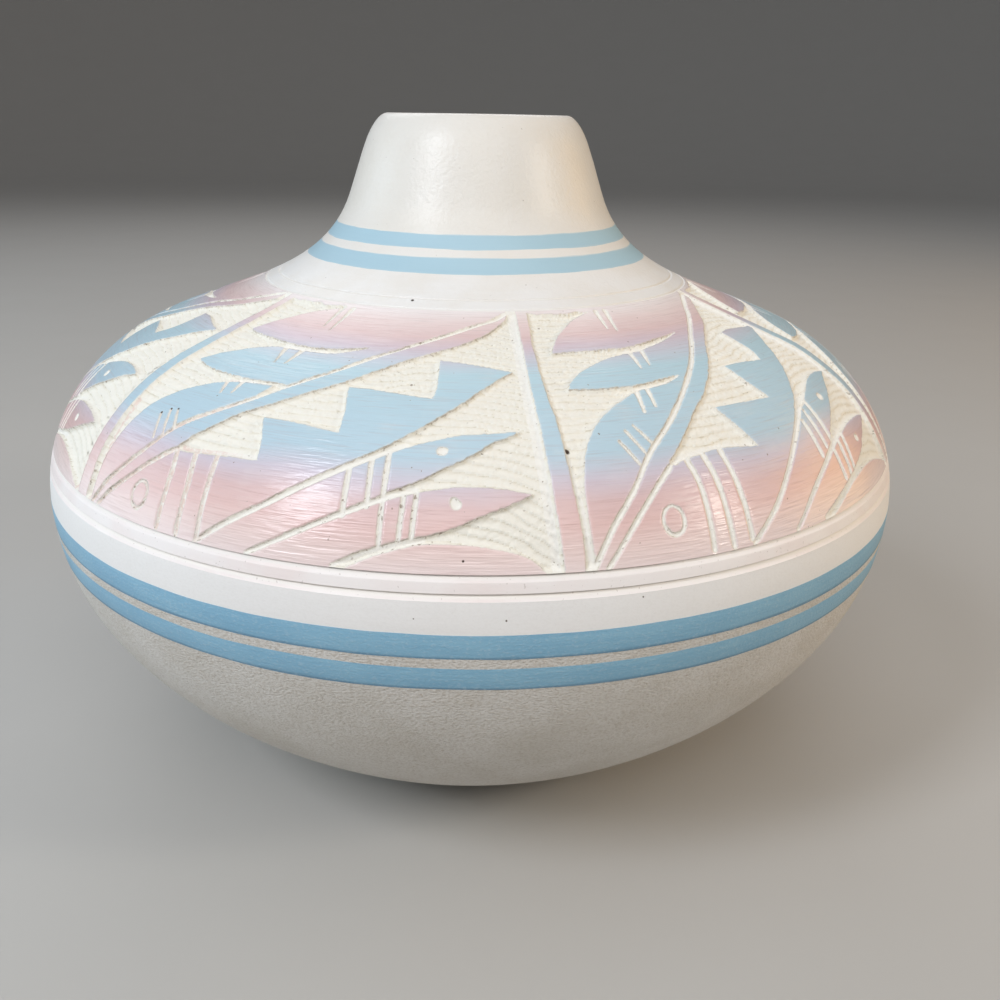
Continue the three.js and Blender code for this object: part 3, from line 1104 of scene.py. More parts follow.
    def at(self, turn: Array, run: Array) -> dict[str, Array]:
        """How deep the carving is at places, and what its finish needs to know.

        The ground falls to its depth over the width of the tool's slanting cut, and each scoop in it deepens
        up the wall and steps out again. Lines are bowls. The deeper of the two holds.

        Args:
            turn, run: places.
        Returns:
            Depths, distances from the nearest cut edge, positive on what stands, the scoops' shares,
            distances inside the cut lines, and how far the edge nearby faces down.
        """
        turn, run = np.broadcast_arrays(turn, run)
        drawn = self.drawn(turn, run)
        under = np.clip(np.gradient(np.minimum(drawn.land, -drawn.line), run[:, 0], axis=0), -1.0, 1.0)
        all_round, below = self.ragged_edges
        ragged = self.raggedness * (all_round + below * np.clip(under, 0.0, 1.0))
        ragged = ragged * self.layered(self.chips, turn, run)
        land = drawn.land + ragged
        line = drawn.line + self.ragged_lines * ragged
        share = (self.ridges(turn, run) / self.scoop_spacing) % 1.0
        bow, rise = self.scoop_shape
        scoop = bow * share * (1.0 - share) + rise * share
        rough = self.scoop_depth * scoop + self.layered(self.crumbs, turn, run)
        rough = rough * smooth_step(-land, *self.scoop_start)
        ground = (self.ground_depth + rough) * smooth_step(-land, 0.0, self.wall_width)
        low, top = ([rim + part for part in fade]
                    for rim, fade in ((self.low_rim, self.low_fade), (self.top_land, self.top_fade)))
        lines = drawn.depth * (1.0 - smooth_step(run, *top))
        depth = np.maximum(ground, lines) * smooth_step(run, *low)
        return {
            "depth": depth,
            "cut": np.clip(np.minimum(land, -line), -2.0, 2.0),
            "scoop": share,
            "pulled": np.clip(drawn.line, -1.0, 1.0),
            "under": under,
        }


@dataclass(frozen=True)
class Pot:
    """What the sub-assemblies share: the wall, its marks, the hand, and the metres in one millimetre."""

    wall: WallLine
    marks: Marks
    hand: Hand
    unit: float
    edge_clearance: float = 2.5

    @classmethod
    def from_frame(cls) -> "Pot":
        """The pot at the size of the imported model: the crest of the lip lies at the neck's highest corner."""
        wall = WallLine()
        return cls(wall, Marks(wall), Hand(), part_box("neck")[1].z / (wall.lip_height + wall.lip_rounding))

    def outside(self, runs: Array, edge: int = 0, depth: float = 0.0) -> Rows:
        """Rows on the outside, or a depth under it, that follow the pot's unevenness."""
        return Rows.on_wall(self.wall, runs, depth, True, edge)

    def seated(self, low: float, high: float, coats: Coats, pitch: float) -> Rows:
        """Rows up the outside between two runs, dropping into a seat under each coat of slip.

        Args:
            low, high: runs of the ends.
            coats: runs of each coat's edges, and the number of its first edge.
            pitch: distance between rows.
        Returns:
            The rows.
        """
        parts = []
        place = low
        for (start, end), edge in coats:
            clear = self.edge_clearance * self.hand.edge_wander
            seat = self.marks.slip_depth
            parts += [
                self.outside(np.linspace(place, start - clear, int((start - place) / pitch) + 2)),
                self.outside(start, edge), self.outside(start, edge, seat),
                self.outside(end, edge + 1, seat), self.outside(end, edge + 1),
            ]
            place = end + clear
        parts.append(self.outside(np.linspace(place, high, int((high - place) / pitch) + 2)))
        return Rows.join(parts)

    def inside(self, low: float, high: float, pitch: float = 1.6) -> Rows:
        """Rows down the inside between two runs."""
        runs = np.linspace(high, low, int((high - low) / pitch) + 2)
        return Rows.on_wall(self.wall, runs, self.wall.thickness, False)


@dataclass
class SubAssembly:
    """Pieces that are made together and stand in for nodes of the CAD model."""

    pot: Pot
    pieces: dict[str, bpy.types.Object] = field(default_factory=dict)
    throwing: float = 0.22
    throwing_pitch: float = 5.5
    band_columns: int = 720
    band_rows: int = 8
    band_margin: float = 0.4

    def keep(self, skin: Skin, name: str, node: str, slot: str) -> None:
        """Finishes a piece, fixes it to the pot's body and reports it.

        Args:
            skin: the piece's surface.
            name: the piece's name.
            node: the CAD node that it stands for.
            slot: the material slot that its finish comes from.
        """
        piece = skin.finish(name, self.pot.unit)
        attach(piece, BODY)
        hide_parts(node)
        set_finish(piece, slot)
        self.pieces[name] = piece
        LOG.info("%s: %d faces", name, len(piece.data.polygons))

    def rings(self, rows: Rows, turn: Array) -> Array:
        """Relief of the potter's fingers on the inside, one turn of a spiral for each pitch up the wall."""
        wave = np.sin(2.0 * np.pi * (rows.run[:, None] / self.throwing_pitch + turn[None, :] / 360.0))
        return (1.0 - rows.outer[:, None]) * self.throwing * wave

    def band(self, edges: tuple[float, float], edge: int, name: str) -> None:
        """Makes a painted band, a coat flush with the clay round it, with wavering edges.

        Its attribute across runs from 0 at the lower edge to 1 at the upper.

        Args:
            edges: runs of its edges.
            edge: number of its first edge.
            name: the piece's name, which is its node's too.
        """
        pot, seat = self.pot, self.pot.marks.slip_depth
        inner = np.linspace(edges[0] + self.band_margin, edges[1] - self.band_margin, self.band_rows)
        rows = Rows.join([
            pot.outside(edges[0], edge), pot.outside(inner), pot.outside(edges[1], edge + 1),
            pot.outside(edges[1], edge + 1, seat), pot.outside(edges[0], edge, seat),
        ])
        across = (rows.run - edges[0]) / (edges[1] - edges[0])
        skin = Turning(pot.hand, self.band_columns).closed(rows, across=across[:, None])
        self.keep(skin, name, name, "blue_slip")

    def dress(self, finishes: dict[str, bpy.types.Material]) -> None:
        """Gives each piece the material of its slot."""
        for piece in self.pieces.values():
            piece.data.materials.append(finishes[piece["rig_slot"]])


@dataclass
class Foot(SubAssembly):
    """The slab that the vase stands on, trimmed flat underneath, with a spiral left in its floor."""

    columns: int = 240
    trim_depth: float = 0.16
    trim_pitch: float = 2.6
    trim_start: float = 6.0
    trim_end: tuple[float, float] = (2.0, 4.0)
    edge_rounding: float = 0.7
    pole: float = 0.6
    under_rows: int = 44
    edge_rows: int = 8
    floor_rows: int = 40

    def build(self) -> None:
        """Makes the slab: out along the underside, up the wall's foot, and in along the floor."""
        wall, pot = self.pot.wall, self.pot
        seam = wall.run_at_height(wall.slab_edge)
        floor_run = wall.run_at_height(wall.floor, wall.thickness)
        corner = wall.place(floor_run, wall.thickness)[0]
        under = np.linspace(self.pole, wall.foot_radius - self.edge_rounding, self.under_rows)
        floor = np.linspace(float(corner), self.pole, self.floor_rows)
        rows = Rows.join([
            Rows.free(np.stack([under, np.zeros_like(under)], axis=-1), 0.0),
            pot.outside(np.linspace(self.edge_rounding, seam, self.edge_rows)),
            Rows.free(np.stack([floor, np.full_like(floor, wall.floor)], axis=-1), floor_run),
        ])
        turning = Turning(pot.hand, self.columns)
        radius = rows.base[:, :1]
        trimmed = 0.5 + 0.5 * np.sin(2 * np.pi * (radius / self.trim_pitch - turning.turn / 360.0))
        flat = (rows.outer == 0.0)[:, None]
        relief = flat * self.trim_depth * trimmed * smooth_step(radius, 0.0, self.trim_start)
        relief = relief * smooth_step(wall.foot_radius - radius, *self.trim_end)
        points, run = turning.sweep(rows, relief)
        skin = Skin()
        numbers = wrapped(skin.add(points, run=run))
        skin.weave(numbers)
        poles = skin.add(np.array([[0.0, 0.0, 0.0], [0.0, 0.0, wall.floor]]), run=np.zeros(2))
        skin.fan(poles[0], numbers[0, ::-1])
        skin.fan(poles[1], numbers[-1])
        self.keep(skin, "foot_disc", "foot_slab", "bare_clay")


@dataclass
class Bowl(SubAssembly):
    """The wall from the foot to the waist, with its two painted bands."""

    columns: int = 480
    pitch: float = 1.15
    wheel_marks: float = 0.025
    wheel_pitch: float = 1.6
    wheel_length: float = 40.0
    grain: Grain = Grain(31)

    def build(self) -> None:
        """Makes the bands, then the wall that they lie in."""
        wall, marks = self.pot.wall, self.pot.marks
        self.band(marks.belly_lower, 1, "belly_band_lower")
        self.band(marks.belly_upper, 3, "belly_band_upper")
        seam = wall.run_at_height(wall.slab_edge)
        floor_run = wall.run_at_height(wall.floor, wall.thickness)
        coats = [(marks.belly_lower, 1), (marks.belly_upper, 3)]
        rows = Rows.join([
            self.pot.seated(seam, marks.waist, coats, self.pitch),
            Rows.on_wall(wall, [marks.waist, marks.ring_middle], marks.ring_depth, False),
            self.pot.inside(floor_run, marks.ring_middle),
        ])
        turning = Turning(self.pot.hand, self.columns)
        pitch, length = self.wheel_pitch, self.wheel_length
        lines = self.wheel_marks * (self.grain(rows.run[:, None] / pitch, turning.turn / length) + 1.0)
        relief = self.rings(rows, turning.turn) + rows.outer[:, None] * lines
        self.keep(turning.closed(rows, relief), "bowl_wall", "lower_bowl", "bare_clay")


@dataclass
class Waist(SubAssembly):
    """The turned bead over the joint of bowl and shoulder, between two grooves with a steep upper side."""

    columns: int = 720
    groove_rows: int = 12
    crown_rows: int = 24
    chatter: float = 0.02
    chatter_waves: float = 60.0
    chatter_pitch: float = 0.5
    least_dig: float = 0.02
    undercut: float = 0.55
    lip: float = 0.12
    grain: Grain = Grain(41)

    def build(self) -> None:
        """Makes the bead. Each groove drops at once under its upper edge and rises in a straight slope."""
        wall, marks = self.pot.wall, self.pot.marks
        wide = marks.waist_groove_width
        runs = np.concatenate([
            np.linspace(marks.waist, marks.waist + wide, self.groove_rows),
            np.linspace(marks.waist + wide + self.lip, marks.waist_top, self.crown_rows),
        ])
        rows = Rows.join([
            self.pot.outside(runs),
            Rows.on_wall(wall, [marks.waist_top, marks.waist], marks.ring_depth, False),
        ])
        turning = Turning(self.pot.hand, self.columns)
        under = [(edge - rows.run[:, None]) / wide for edge in (marks.waist_top, marks.waist + wide)]
        groove = self.undercut * sum((below >= 0.0) * np.clip(1.0 - below, 0.0, 1.0) for below in under)
        level = rows.run[:, None] / self.chatter_pitch
        chatter = self.grain.round_pot(turning.turn, self.chatter_waves, level)
        chatter = self.chatter * (1.0 + chatter) * (groove > self.least_dig)
        relief = rows.outer[:, None] * (groove + chatter)
        skin = turning.closed(rows, relief, dig=groove / self.undercut)
        self.keep(skin, "waist_bead", "waist_ring", "tinted_clay")


@dataclass
class Shoulder(SubAssembly):
    """The domed wall with the carved decoration: a plain body, and six panels of its skin."""

    body_columns: int = 480
    body_rows: int = 42
    columns: int = 350
    rows: int = 205
    inner_rows: int = 10
    panels: int = 6
    first_turn: float = -53.5
    panel_depth: float = 1.4

    def build(self) -> None:
        """Makes the body under the carving, then the panels."""
        wall, marks = self.pot.wall, self.pot.marks
        middle, step = marks.ring_middle, marks.neck_joint + marks.neck_lap
        outside = np.linspace(marks.waist_top, marks.neck_joint, self.body_rows)
        rows = Rows.join([
            Rows.on_wall(wall, outside, self.panel_depth, False),
            Rows.on_wall(wall, [marks.neck_joint, step], 0.5 * wall.thickness, False),
            self.pot.inside(middle, step),
            Rows.on_wall(wall, [middle, marks.waist_top], marks.ring_depth, False),
        ])
        turning = Turning(self.pot.hand, self.body_columns)
        fingers = np.zeros((rows.run.size, 1))
        fingers[self.body_rows + 2:-2] = 1.0
        relief = self.rings(rows, turning.turn) * fingers
        self.keep(turning.closed(rows, relief), "shoulder_wall", "shoulder", "carved_clay")
        carving = Carving(Sheet(wall), marks.waist_top)
        for number in range(self.panels):
            skin = self.panel(number, carving)
            self.keep(skin, f"carved_panel_{number + 1}", "shoulder_slip", "field_slip")

    def panel(self, number: int, carving: Carving) -> Skin:
        """One sixth of the shoulder's carved skin, a closed shell with a smooth back.

        Its points are the wall's, sunk by the unevenness and the carving. Its shading follows the cross
        product of its slopes, read from a grid one column wider than itself, so that panels meet unseen.

        Args:
            number: which panel, counted round from the first.
            carving: the carving.
        Returns:
            The shell.
        """
        wall, marks = self.pot.wall, self.pot.marks
        width = 360.0 / self.panels
        turn = self.first_turn + width * (number + np.arange(-1, self.columns + 2) / self.columns)
        run = np.linspace(marks.waist_top, marks.neck_joint, self.rows)[:, None]
        cut = carving.at(turn[None, :], run)
        depth = self.pot.hand.unevenness(turn[None, :], run) + cut.pop("depth")
        points = swing(turn[None, :], *wall.place(run, depth))
        facing = np.cross(np.gradient(points, axis=1), np.gradient(points, axis=0))
        facing = facing / np.linalg.norm(facing, axis=-1, keepdims=True)
        skin = Skin()
        own = slice(1, -1)
        values = {key: value[:, own] for key, value in cut.items()}
        outer = skin.add(points[:, own], facing[:, own], run=run, **values)
        back = np.linspace(marks.waist_top, marks.neck_joint, self.inner_rows)[:, None]
        lining = swing(turn[None, own], *wall.place(back, self.panel_depth))
        inner = skin.add(lining, run=back, **{key: np.zeros(()) for key in cut})
        skin.weave(np.concatenate([inner[:1], outer, inner[::-1]]))
        for side, order in ((0, 1), (-1, -1)):
            skin.cap(np.concatenate([outer[:, side], inner[::-1, side]])[::order])
        return skin


@dataclass
class Neck(SubAssembly):
    """The collar with its two fine lines, the neck with its painted bands, and the rounded lip."""

    columns: int = 480
    pitch: float = 0.8
    collar_rows: int = 50
    lip_steps: int = 12
    lip_gap: float = 1.0

    def build(self) -> None:
        """Makes the bands, then the wall from the shoulder's joint over the lip and down the inside."""
        wall, marks = self.pot.wall, self.pot.marks
        self.band(marks.neck_lower, 5, "neck_band_lower")
        self.band(marks.neck_upper, 7, "neck_band_upper")
        end = wall.run_to(4)
        start = (wall.lip_radius, wall.lip_height)
        crest = (wall.lip_radius - wall.lip_crest_inset, wall.lip_height + wall.lip_rounding)
        mouth = tuple(float(axis) for axis in wall.place(end, wall.thickness))
        level = 180.0
        angles = (wall.lip_angle, level, level + wall.lip_angle)
        rise, top, fall = ((angle, wall.lip_pull) for angle in angles)
        over = wall.bend(start, rise, crest, top, self.lip_steps)
        down = wall.bend(crest, top, mouth, fall, self.lip_steps)
        lip = Rows.free(np.concatenate([over[1:], down[1:]]), end, 1.0)
        collar_end = marks.collar_groove + 2.0 * marks.fine_groove_width
        fine = np.linspace(marks.neck_joint, collar_end, self.collar_rows)
        step = marks.neck_joint + marks.neck_lap
        coats = [(marks.neck_lower, 5), (marks.neck_upper, 7)]
        rows = Rows.join([
            self.pot.outside(fine[:-1]),
            self.pot.seated(fine[-1], end, coats, self.pitch),
            lip,
            self.pot.inside(step, end - self.lip_gap),
            Rows.on_wall(wall, [step, marks.neck_joint], 0.5 * wall.thickness, False),
        ])
        turning = Turning(self.pot.hand, self.columns)
        half = 0.5 * marks.fine_groove_width
        lines = (marks.neck_joint + half, marks.collar_groove + half)
        across = np.min([np.abs(rows.run - centre) for centre in lines], axis=0)[:, None] / half
        dig = rows.outer[:, None] * scraped(across)
        inner = rows.run[:, None] > step
        relief = marks.fine_groove_depth * dig + inner * self.rings(rows, turning.turn)
        self.keep(turning.closed(rows, relief, dig=dig), "neck_wall", "neck", "polished_clay")


def tone(red: float, green: float, blue: float) -> Colour:
    """Scene-linear colour of a screen colour, by the sRGB curve.

    Args:
        red, green, blue: its parts, from 0 to 255.
    Returns:
        The colour.
    """
    parts = np.array([red, green, blue]) / 255.0
    linear = np.where(parts <= 0.04045, parts / 12.92, ((parts + 0.055) / 1.055) ** 2.4)
    return tuple(float(part) for part in linear)


@dataclass(frozen=True)
class Pit:
    """A small spot of the clay: its place on the wall, half its width, and how deep it lies."""

    turn: float
    run: float
    size: float = 0.3
    depth: float = 0.0


class Value:
    """A number that varies over a surface: a node's output that takes part in Python's arithmetic."""

    def __init__(self, paint: "Paint", socket: bpy.types.NodeSocket) -> None:
        """Keeps the output and the material that it belongs to."""
        self.paint = paint
        self.socket = socket

    def __add__(self, other: "Value | float") -> "Value":
        """Sum."""
        return self.paint.maths("ADD", self, other)

    def __sub__(self, other: "Value | float") -> "Value":
        """Difference."""
        return self.paint.maths("SUBTRACT", self, other)

    def __rsub__(self, other: float) -> "Value":
        """Difference from a number."""
        return self.paint.maths("SUBTRACT", other, self)

    def __mul__(self, other: "Value | float") -> "Value":
        """Product."""
        return self.paint.maths("MULTIPLY", self, other)

    __radd__ = __add__
    __rmul__ = __mul__


class Paint:
    """The nodes of one material. Sizes are millimetres, from Object coordinates or the piece's attributes."""

    def __init__(self, name: str) -> None:
        """Starts an empty material.

        Args:
            name: the material's name.
        """
        self.material = bpy.data.materials.new(name)
        self.material.use_nodes = True
        self.tree = self.material.node_tree
        self.tree.nodes.clear()

    def node(self, kind: str, settings: dict[str, Any] | None = None,
             inputs: dict[str | int, Any] | None = None) -> bpy.types.Node:
        """Adds a node.

        Args:
            kind: its type.
            settings: its properties, and stops for a ramp as places and colours.
            inputs: values or links for its sockets, by name or number.
        Returns:
            The node.
        """
        made = self.tree.nodes.new(kind)
        for name, value in (settings or {}).items():
            if name == "stops":
                elements = made.color_ramp.elements
                for place, colour in value[1:-1]:
                    elements.new(place)
                for element, (place, colour) in zip(elements, value):
                    element.position = place
                    element.color = (*colour, 1.0)
            else:
                setattr(made, name, value)
        for key, value in (inputs or {}).items():
            socket = made.inputs[key]
            source = value.socket if isinstance(value, Value) else value
            if isinstance(source, bpy.types.NodeSocket):
                self.tree.links.new(source, socket)
            else:
                socket.default_value = (*source, 1.0) if socket.type == "RGBA" else source
        return made

    def maths(self, operation: str, *values: Value | float) -> Value:
        """The result of a Math node."""
        made = self.node("ShaderNodeMath", {"operation": operation}, dict(enumerate(values)))
        return Value(self, made.outputs[0])

    def attribute(self, name: str) -> Value:
        """A number kept at the piece's vertices."""
        made = self.node("ShaderNodeAttribute", {"attribute_type": "GEOMETRY", "attribute_name": name})
        return Value(self, made.outputs["Fac"])

    @cached_property
    def place(self) -> bpy.types.NodeSocket:
        """Object coordinates."""
        return self.node("ShaderNodeTexCoord").outputs["Object"]

    def noise(self, size: float, detail: float = 3.0, rough: float = 0.55,
              vector: bpy.types.NodeSocket | None = None) -> Value:
        """Cloudy noise about 0.5.

        Args:
            size: millimetres in a patch, or units of the given vector.
            detail, rough: number of finer layers, and the strength of each against the one before.
            vector: where to read it, if not at the Object coordinates.
        Returns:
            The noise.
        """
        scale = 1.0 / size if vector else 1000.0 / size
        inputs = {"Vector": vector or self.place, "Scale": scale, "Detail": detail, "Roughness": rough}
        return Value(self, self.node("ShaderNodeTexNoise", {}, inputs).outputs[0])

    def streaks(self, run: Value, along: float, across: float, detail: float = 3.0,
                rough: float = 0.6) -> Value:
        """Noise drawn out round the pot, read at x and y over along, and run over across.

        Args:
            run: the run up the wall.
            along, across: millimetres in a streak's length and width.
            detail, rough: number of finer layers, and the strength of each against the one before.
        Returns:
            The noise.
        """
        split = self.node("ShaderNodeSeparateXYZ", {}, {0: self.place})
        x, y = (Value(self, split.outputs[axis]) * (1000.0 / along) for axis in range(2))
        drawn_out = self.node("ShaderNodeCombineXYZ", {}, {0: x, 1: y, 2: run * (1.0 / across)})
        return self.noise(1.0, detail, rough, drawn_out.outputs[0])

    def step(self, value: Value, low: float, high: float) -> Value:
        """Smooth rise from 0 at low to 1 at high, or a fall where low is the higher.

        Args:
            value: what is measured.
            low, high: where the rise starts and ends.
        Returns:
            The share.
        """
        settings = {"interpolation_type": "SMOOTHSTEP", "clamp": True}
        made = self.node("ShaderNodeMapRange", settings, {"Value": value, "From Min": low, "From Max": high})
        return Value(self, made.outputs["Result"])

    def mix(self, share: Value | float, first: Any, second: Any) -> bpy.types.NodeSocket:
        """A colour between two, by a share of the second."""
        made = self.node("ShaderNodeMix", {"data_type": "RGBA"}, {0: share, 6: first, 7: second})
        return made.outputs[2]

    def ramp(self, value: Value, stops: Sequence[tuple[float, Colour]]) -> bpy.types.NodeSocket:
        """A colour looked up between stops.

        Args:
            value: what is measured.
            stops: places in the value's own units, and colours.
        Returns:
            The colour.
        """
        low, high = stops[0][0], stops[-1][0]
        share = (value - low) * (1.0 / (high - low))
        places = [((place - low) / (high - low), colour) for place, colour in stops]
        return self.node("ShaderNodeValToRGB", {"stops": places}, {"Fac": share}).outputs["Color"]

    def relief(self, height: Value, millimetres: float,
               under: bpy.types.NodeSocket | None = None) -> bpy.types.NodeSocket:
        """A normal roughened by a height.

        Args:
            height: the height, from 0 to 1.
            millimetres: what a height of 1 stands for.
            under: a normal that is rough already, to which this is added.
        Returns:
            The normal.
        """
        inputs = {"Height": height, "Distance": 0.001 * millimetres, "Strength": 1.0}
        if under:
            inputs["Normal"] = under
        return self.node("ShaderNodeBump", {}, inputs).outputs[0]

    def pits(self, wall: WallLine, pits: Sequence[Pit]) -> Value:
        """Where spots of the clay lie.

        Args:
            wall: the wall's outline, on which the spots are placed.
            pits: the spots.
        Returns:
            1 inside a spot and 0 beyond it, by the distance from its middle with a little noise.
        """
        rim, heart = 1.15, 0.7
        found: Value | float = 0.0
        waver = (self.noise(0.5, 2.0) - 0.5) * 0.5
        for pit in pits:
            centre = 0.001 * swing(np.asarray(pit.turn), *wall.place(pit.run, pit.depth))
            inputs = {0: self.place, 1: tuple(float(axis) for axis in centre)}
            apart = self.node("ShaderNodeVectorMath", {"operation": "DISTANCE"}, inputs)
            gap = Value(self, apart.outputs["Value"]) * (1000.0 / pit.size) + waver
            found = self.maths("MAXIMUM", found, self.step(gap, rim, heart))
        return found

    def specks(self, size: float, share: float, reach: float = 0.04) -> Value:
        """Small grains in the clay: 1 where fine noise is among its highest, by a threshold."""
        return self.step(self.noise(size, 1.0, 0.4), share, share + reach)

    def finish(self, **sockets: Any) -> bpy.types.Material:
        """Ends the material in a Principled shader.

        Args:
            sockets: what its sockets take, named with underscores for spaces.
        Returns:
            The material.
        """
        inputs = {name.replace("_", " "): value for name, value in sockets.items()}
        shader = self.node("ShaderNodeBsdfPrincipled", {}, inputs)
        self.node("ShaderNodeOutputMaterial", {}, {"Surface": shader.outputs[0]})
        return self.material


@dataclass(frozen=True)
class BareClay:
    """Unglazed wall: sandy, matte grey-beige below the bands, and rubbed smooth and paler above them."""

    marks: Marks
    wall: WallLine
    bare: Colour = tone(212, 208, 202)
    shade: Colour = tone(203, 198, 190)
    rubbed: Colour = tone(240, 238, 236)
    sand: Colour = tone(160, 142, 122)
    dusk: Colour = tone(178, 168, 154)
    pit: Colour = tone(92, 78, 66)
    wiped: tuple[float, ...] = (26.0, 1.3)
    sandy: tuple[float, ...] = (0.6, 0.4, 2.0)
    sand_height: float = 0.3
    streak_height: float = 0.03
    pits: tuple[Pit, ...] = (Pit(-5.6, 98.6, 0.2), Pit(3.1, 98.5, 0.24), Pit(16.5, 100.9, 0.2))

    def make(self) -> bpy.types.Material:
        """Patches of two tones, wiped streaks, sand grains and a grainy bump.

        Returns:
            The material.
        """
        paint = Paint("bare_clay")
        run = paint.attribute("run")
        streaky = paint.streaks(run, *self.wiped)
        cloud = paint.noise(14.0, 4.0)
        tint = paint.mix(paint.step(cloud * 0.8 + streaky * 0.2, 0.38, 0.66), self.bare, self.shade)
        edge = self.marks.belly_upper[1]
        smooth = paint.step(run + streaky * 0.6, edge - 2.0, edge + 0.4)
        tint = paint.mix(smooth * 0.85, tint, self.rubbed)
        sandy = paint.streaks(run, *self.sandy)
        coarse = 1.0 - smooth * 0.9
        tint = paint.mix(paint.step(sandy, 0.42, 0.68) * coarse * 0.5, tint, self.dusk)
        grains = paint.specks(0.6, 0.7) * 0.4
        tint = paint.mix(grains * coarse, tint, self.sand)
        tint = paint.mix(paint.pits(self.wall, self.pits), tint, self.pit)
        rough = 0.8 + cloud * 0.12 - smooth * 0.25
        streaked = paint.relief(streaky, self.streak_height)
        grainy = paint.relief(sandy * coarse, self.sand_height, streaked)
        return paint.finish(Base_Color=tint, Roughness=rough, Normal=grainy)


@dataclass(frozen=True)
class BlueSlip:
    """A brushed coat of sky blue, streaky round the pot, and thin along its edges, where clay shows."""

    body: Colour = tone(128, 176, 203)
    pale: Colour = tone(141, 186, 209)
    clay: Colour = tone(216, 220, 220)
    # deep is the colour of painted shade on the belly bands, not a deeper coat of paint
    deep: Colour = tone(88, 126, 150)
    neck: Colour = tone(180, 207, 217)
    above: float = 150.0
    brush: tuple[float, ...] = (18.0, 0.55, 4.0, 0.65)
    sandy: tuple[float, ...] = (0.7, 0.4, 2.0)
    height: float = 0.16

    def make(self) -> bpy.types.Material:
        """Brush streaks, thin edges, a slightly paler coat on the neck, satin gloss.

        Returns:
            The material.
        """
        paint = Paint("blue_slip")
        run, across = paint.attribute("run"), paint.attribute("across")
        streaky = paint.streaks(run, *self.brush)
        cloud = paint.noise(9.0, 3.0)
        tint = paint.mix(paint.step(streaky * 0.65 + cloud * 0.35, 0.36, 0.66), self.body, self.pale)
        tint = paint.mix(paint.step(run, self.above, self.above + 1.0) * 0.8, tint, self.neck)
        inward = paint.maths("MINIMUM", across, 1.0 - across)
        below = paint.step(run, self.above, self.above - 1.0)
        thin = paint.step(inward + (streaky - 0.5) * 0.22, 0.085, -0.02)
        tint = paint.mix(thin * paint.step(across - below, 0.0, 0.1) * 0.75, tint, self.clay)
        # Painted shade on the belly bands: a thin painted shadow line along the lower edge, and darker towards
        # that edge
        painted_shadow_low_edge = paint.step(across + (streaky - 0.5) * 0.12, 0.15, 0.04) * 0.6
        tint = paint.mix((painted_shadow_low_edge + paint.step(across, 1.0, 0.0) * 0.22) * below, tint, self.deep)
        sandy = paint.streaks(run, *self.sandy) * below
        tint = paint.mix(paint.step(sandy, 0.5, 0.72) * 0.16, tint, self.clay)
        height = streaky * 0.1 + paint.noise(0.6, 3.0, 0.6) * 0.2 + sandy * 0.7
        return paint.finish(Base_Color=tint, Roughness=0.29 + streaky * 0.08 + sandy * 0.3,
                            Normal=paint.relief(height, self.height))


@dataclass(frozen=True)
class TintedClay:
    """The bead at the waist: smooth, with faint overspray of rose, and clean clay in its grooves."""

    crown: Colour = tone(241, 235, 232)
    rose: Colour = tone(235, 220, 216)
    dug: Colour = tone(242, 237, 231)
    speck: Colour = tone(150, 132, 120)
    turned: tuple[float, ...] = (12.0, 0.5)
    height: float = 0.05

    def make(self) -> bpy.types.Material:
        """Drifting rose over white clay, paler in the grooves, with turning lines.

        Returns:
            The material.
        """
        paint = Paint("tinted_clay")
        run, dig = paint.attribute("run"), paint.attribute("dig")
        streaky = paint.streaks(run, *self.turned)
        tint = paint.mix(paint.step(paint.noise(17.0, 3.0), 0.4, 0.66) * 0.6, self.crown, self.rose)
        tint = paint.mix(paint.step(dig, 0.1, 0.7), tint, self.dug)
        tint = paint.mix(paint.specks(0.5, 0.72) * 0.3, tint, self.speck)
        height = streaky * 0.6 + paint.noise(0.6, 3.0) * 0.4
        rough = 0.42 + streaky * 0.12 + dig * 0.2
        return paint.finish(Base_Color=tint, Roughness=rough, Normal=paint.relief(height, self.height))


@dataclass(frozen=True)
class PolishedClay:
    """White clay rubbed to a soft gloss, with faint wheel lines, a warmer mouth and a few dark grains."""

    wall: WallLine
    white: Colour = tone(236, 234, 231)
    warm: Colour = tone(232, 228, 222)
    mouth: Colour = tone(224, 218, 207)
    # colour of the fine turned lines, which are darker than the wall round them
    line_tint: Colour = tone(200, 188, 172)
    grain: Colour = tone(120, 104, 92)
    pit: Colour = tone(58, 44, 36)
    mouth_runs: tuple[float, float] = (170.0, 194.0)
    wheel: tuple[float, ...] = (30.0, 0.8)
    height: float = 0.13
    pits: tuple[Pit, ...] = (Pit(-15.5, 170.6, 0.36), Pit(-1.5, 181.0, 0.2))

    def make(self) -> bpy.types.Material:
        """Two whites in soft patches, sparse grains, darker in the fine lines, satin gloss.

        Returns:
            The material.
        """
        paint = Paint("polished_clay")
        run, dig = paint.attribute("run"), paint.attribute("dig")
        streaky = paint.streaks(run, *self.wheel)
        cloud = paint.noise(12.0, 4.0)
        tint = paint.mix(paint.step(cloud * 0.85 + streaky * 0.15, 0.38, 0.66), self.white, self.warm)
        tint = paint.mix(paint.step(run, *self.mouth_runs) * 0.6, tint, self.mouth)
        # Darker in the fine lines
        tint = paint.mix(paint.step(dig, 0.2, 0.9) * 0.15, tint, self.line_tint)
        tint = paint.mix(paint.specks(0.8, 0.8, 0.02) * 0.5, tint, self.grain)
        tint = paint.mix(paint.pits(self.wall, self.pits), tint, self.pit)
        height = streaky * 0.08 + cloud * 0.12 + paint.noise(0.9, 3.0, 0.6) * 0.8
        return paint.finish(Base_Color=tint, Roughness=0.3 + cloud * 0.1 + dig * 0.2,
                            Normal=paint.relief(height, self.height))


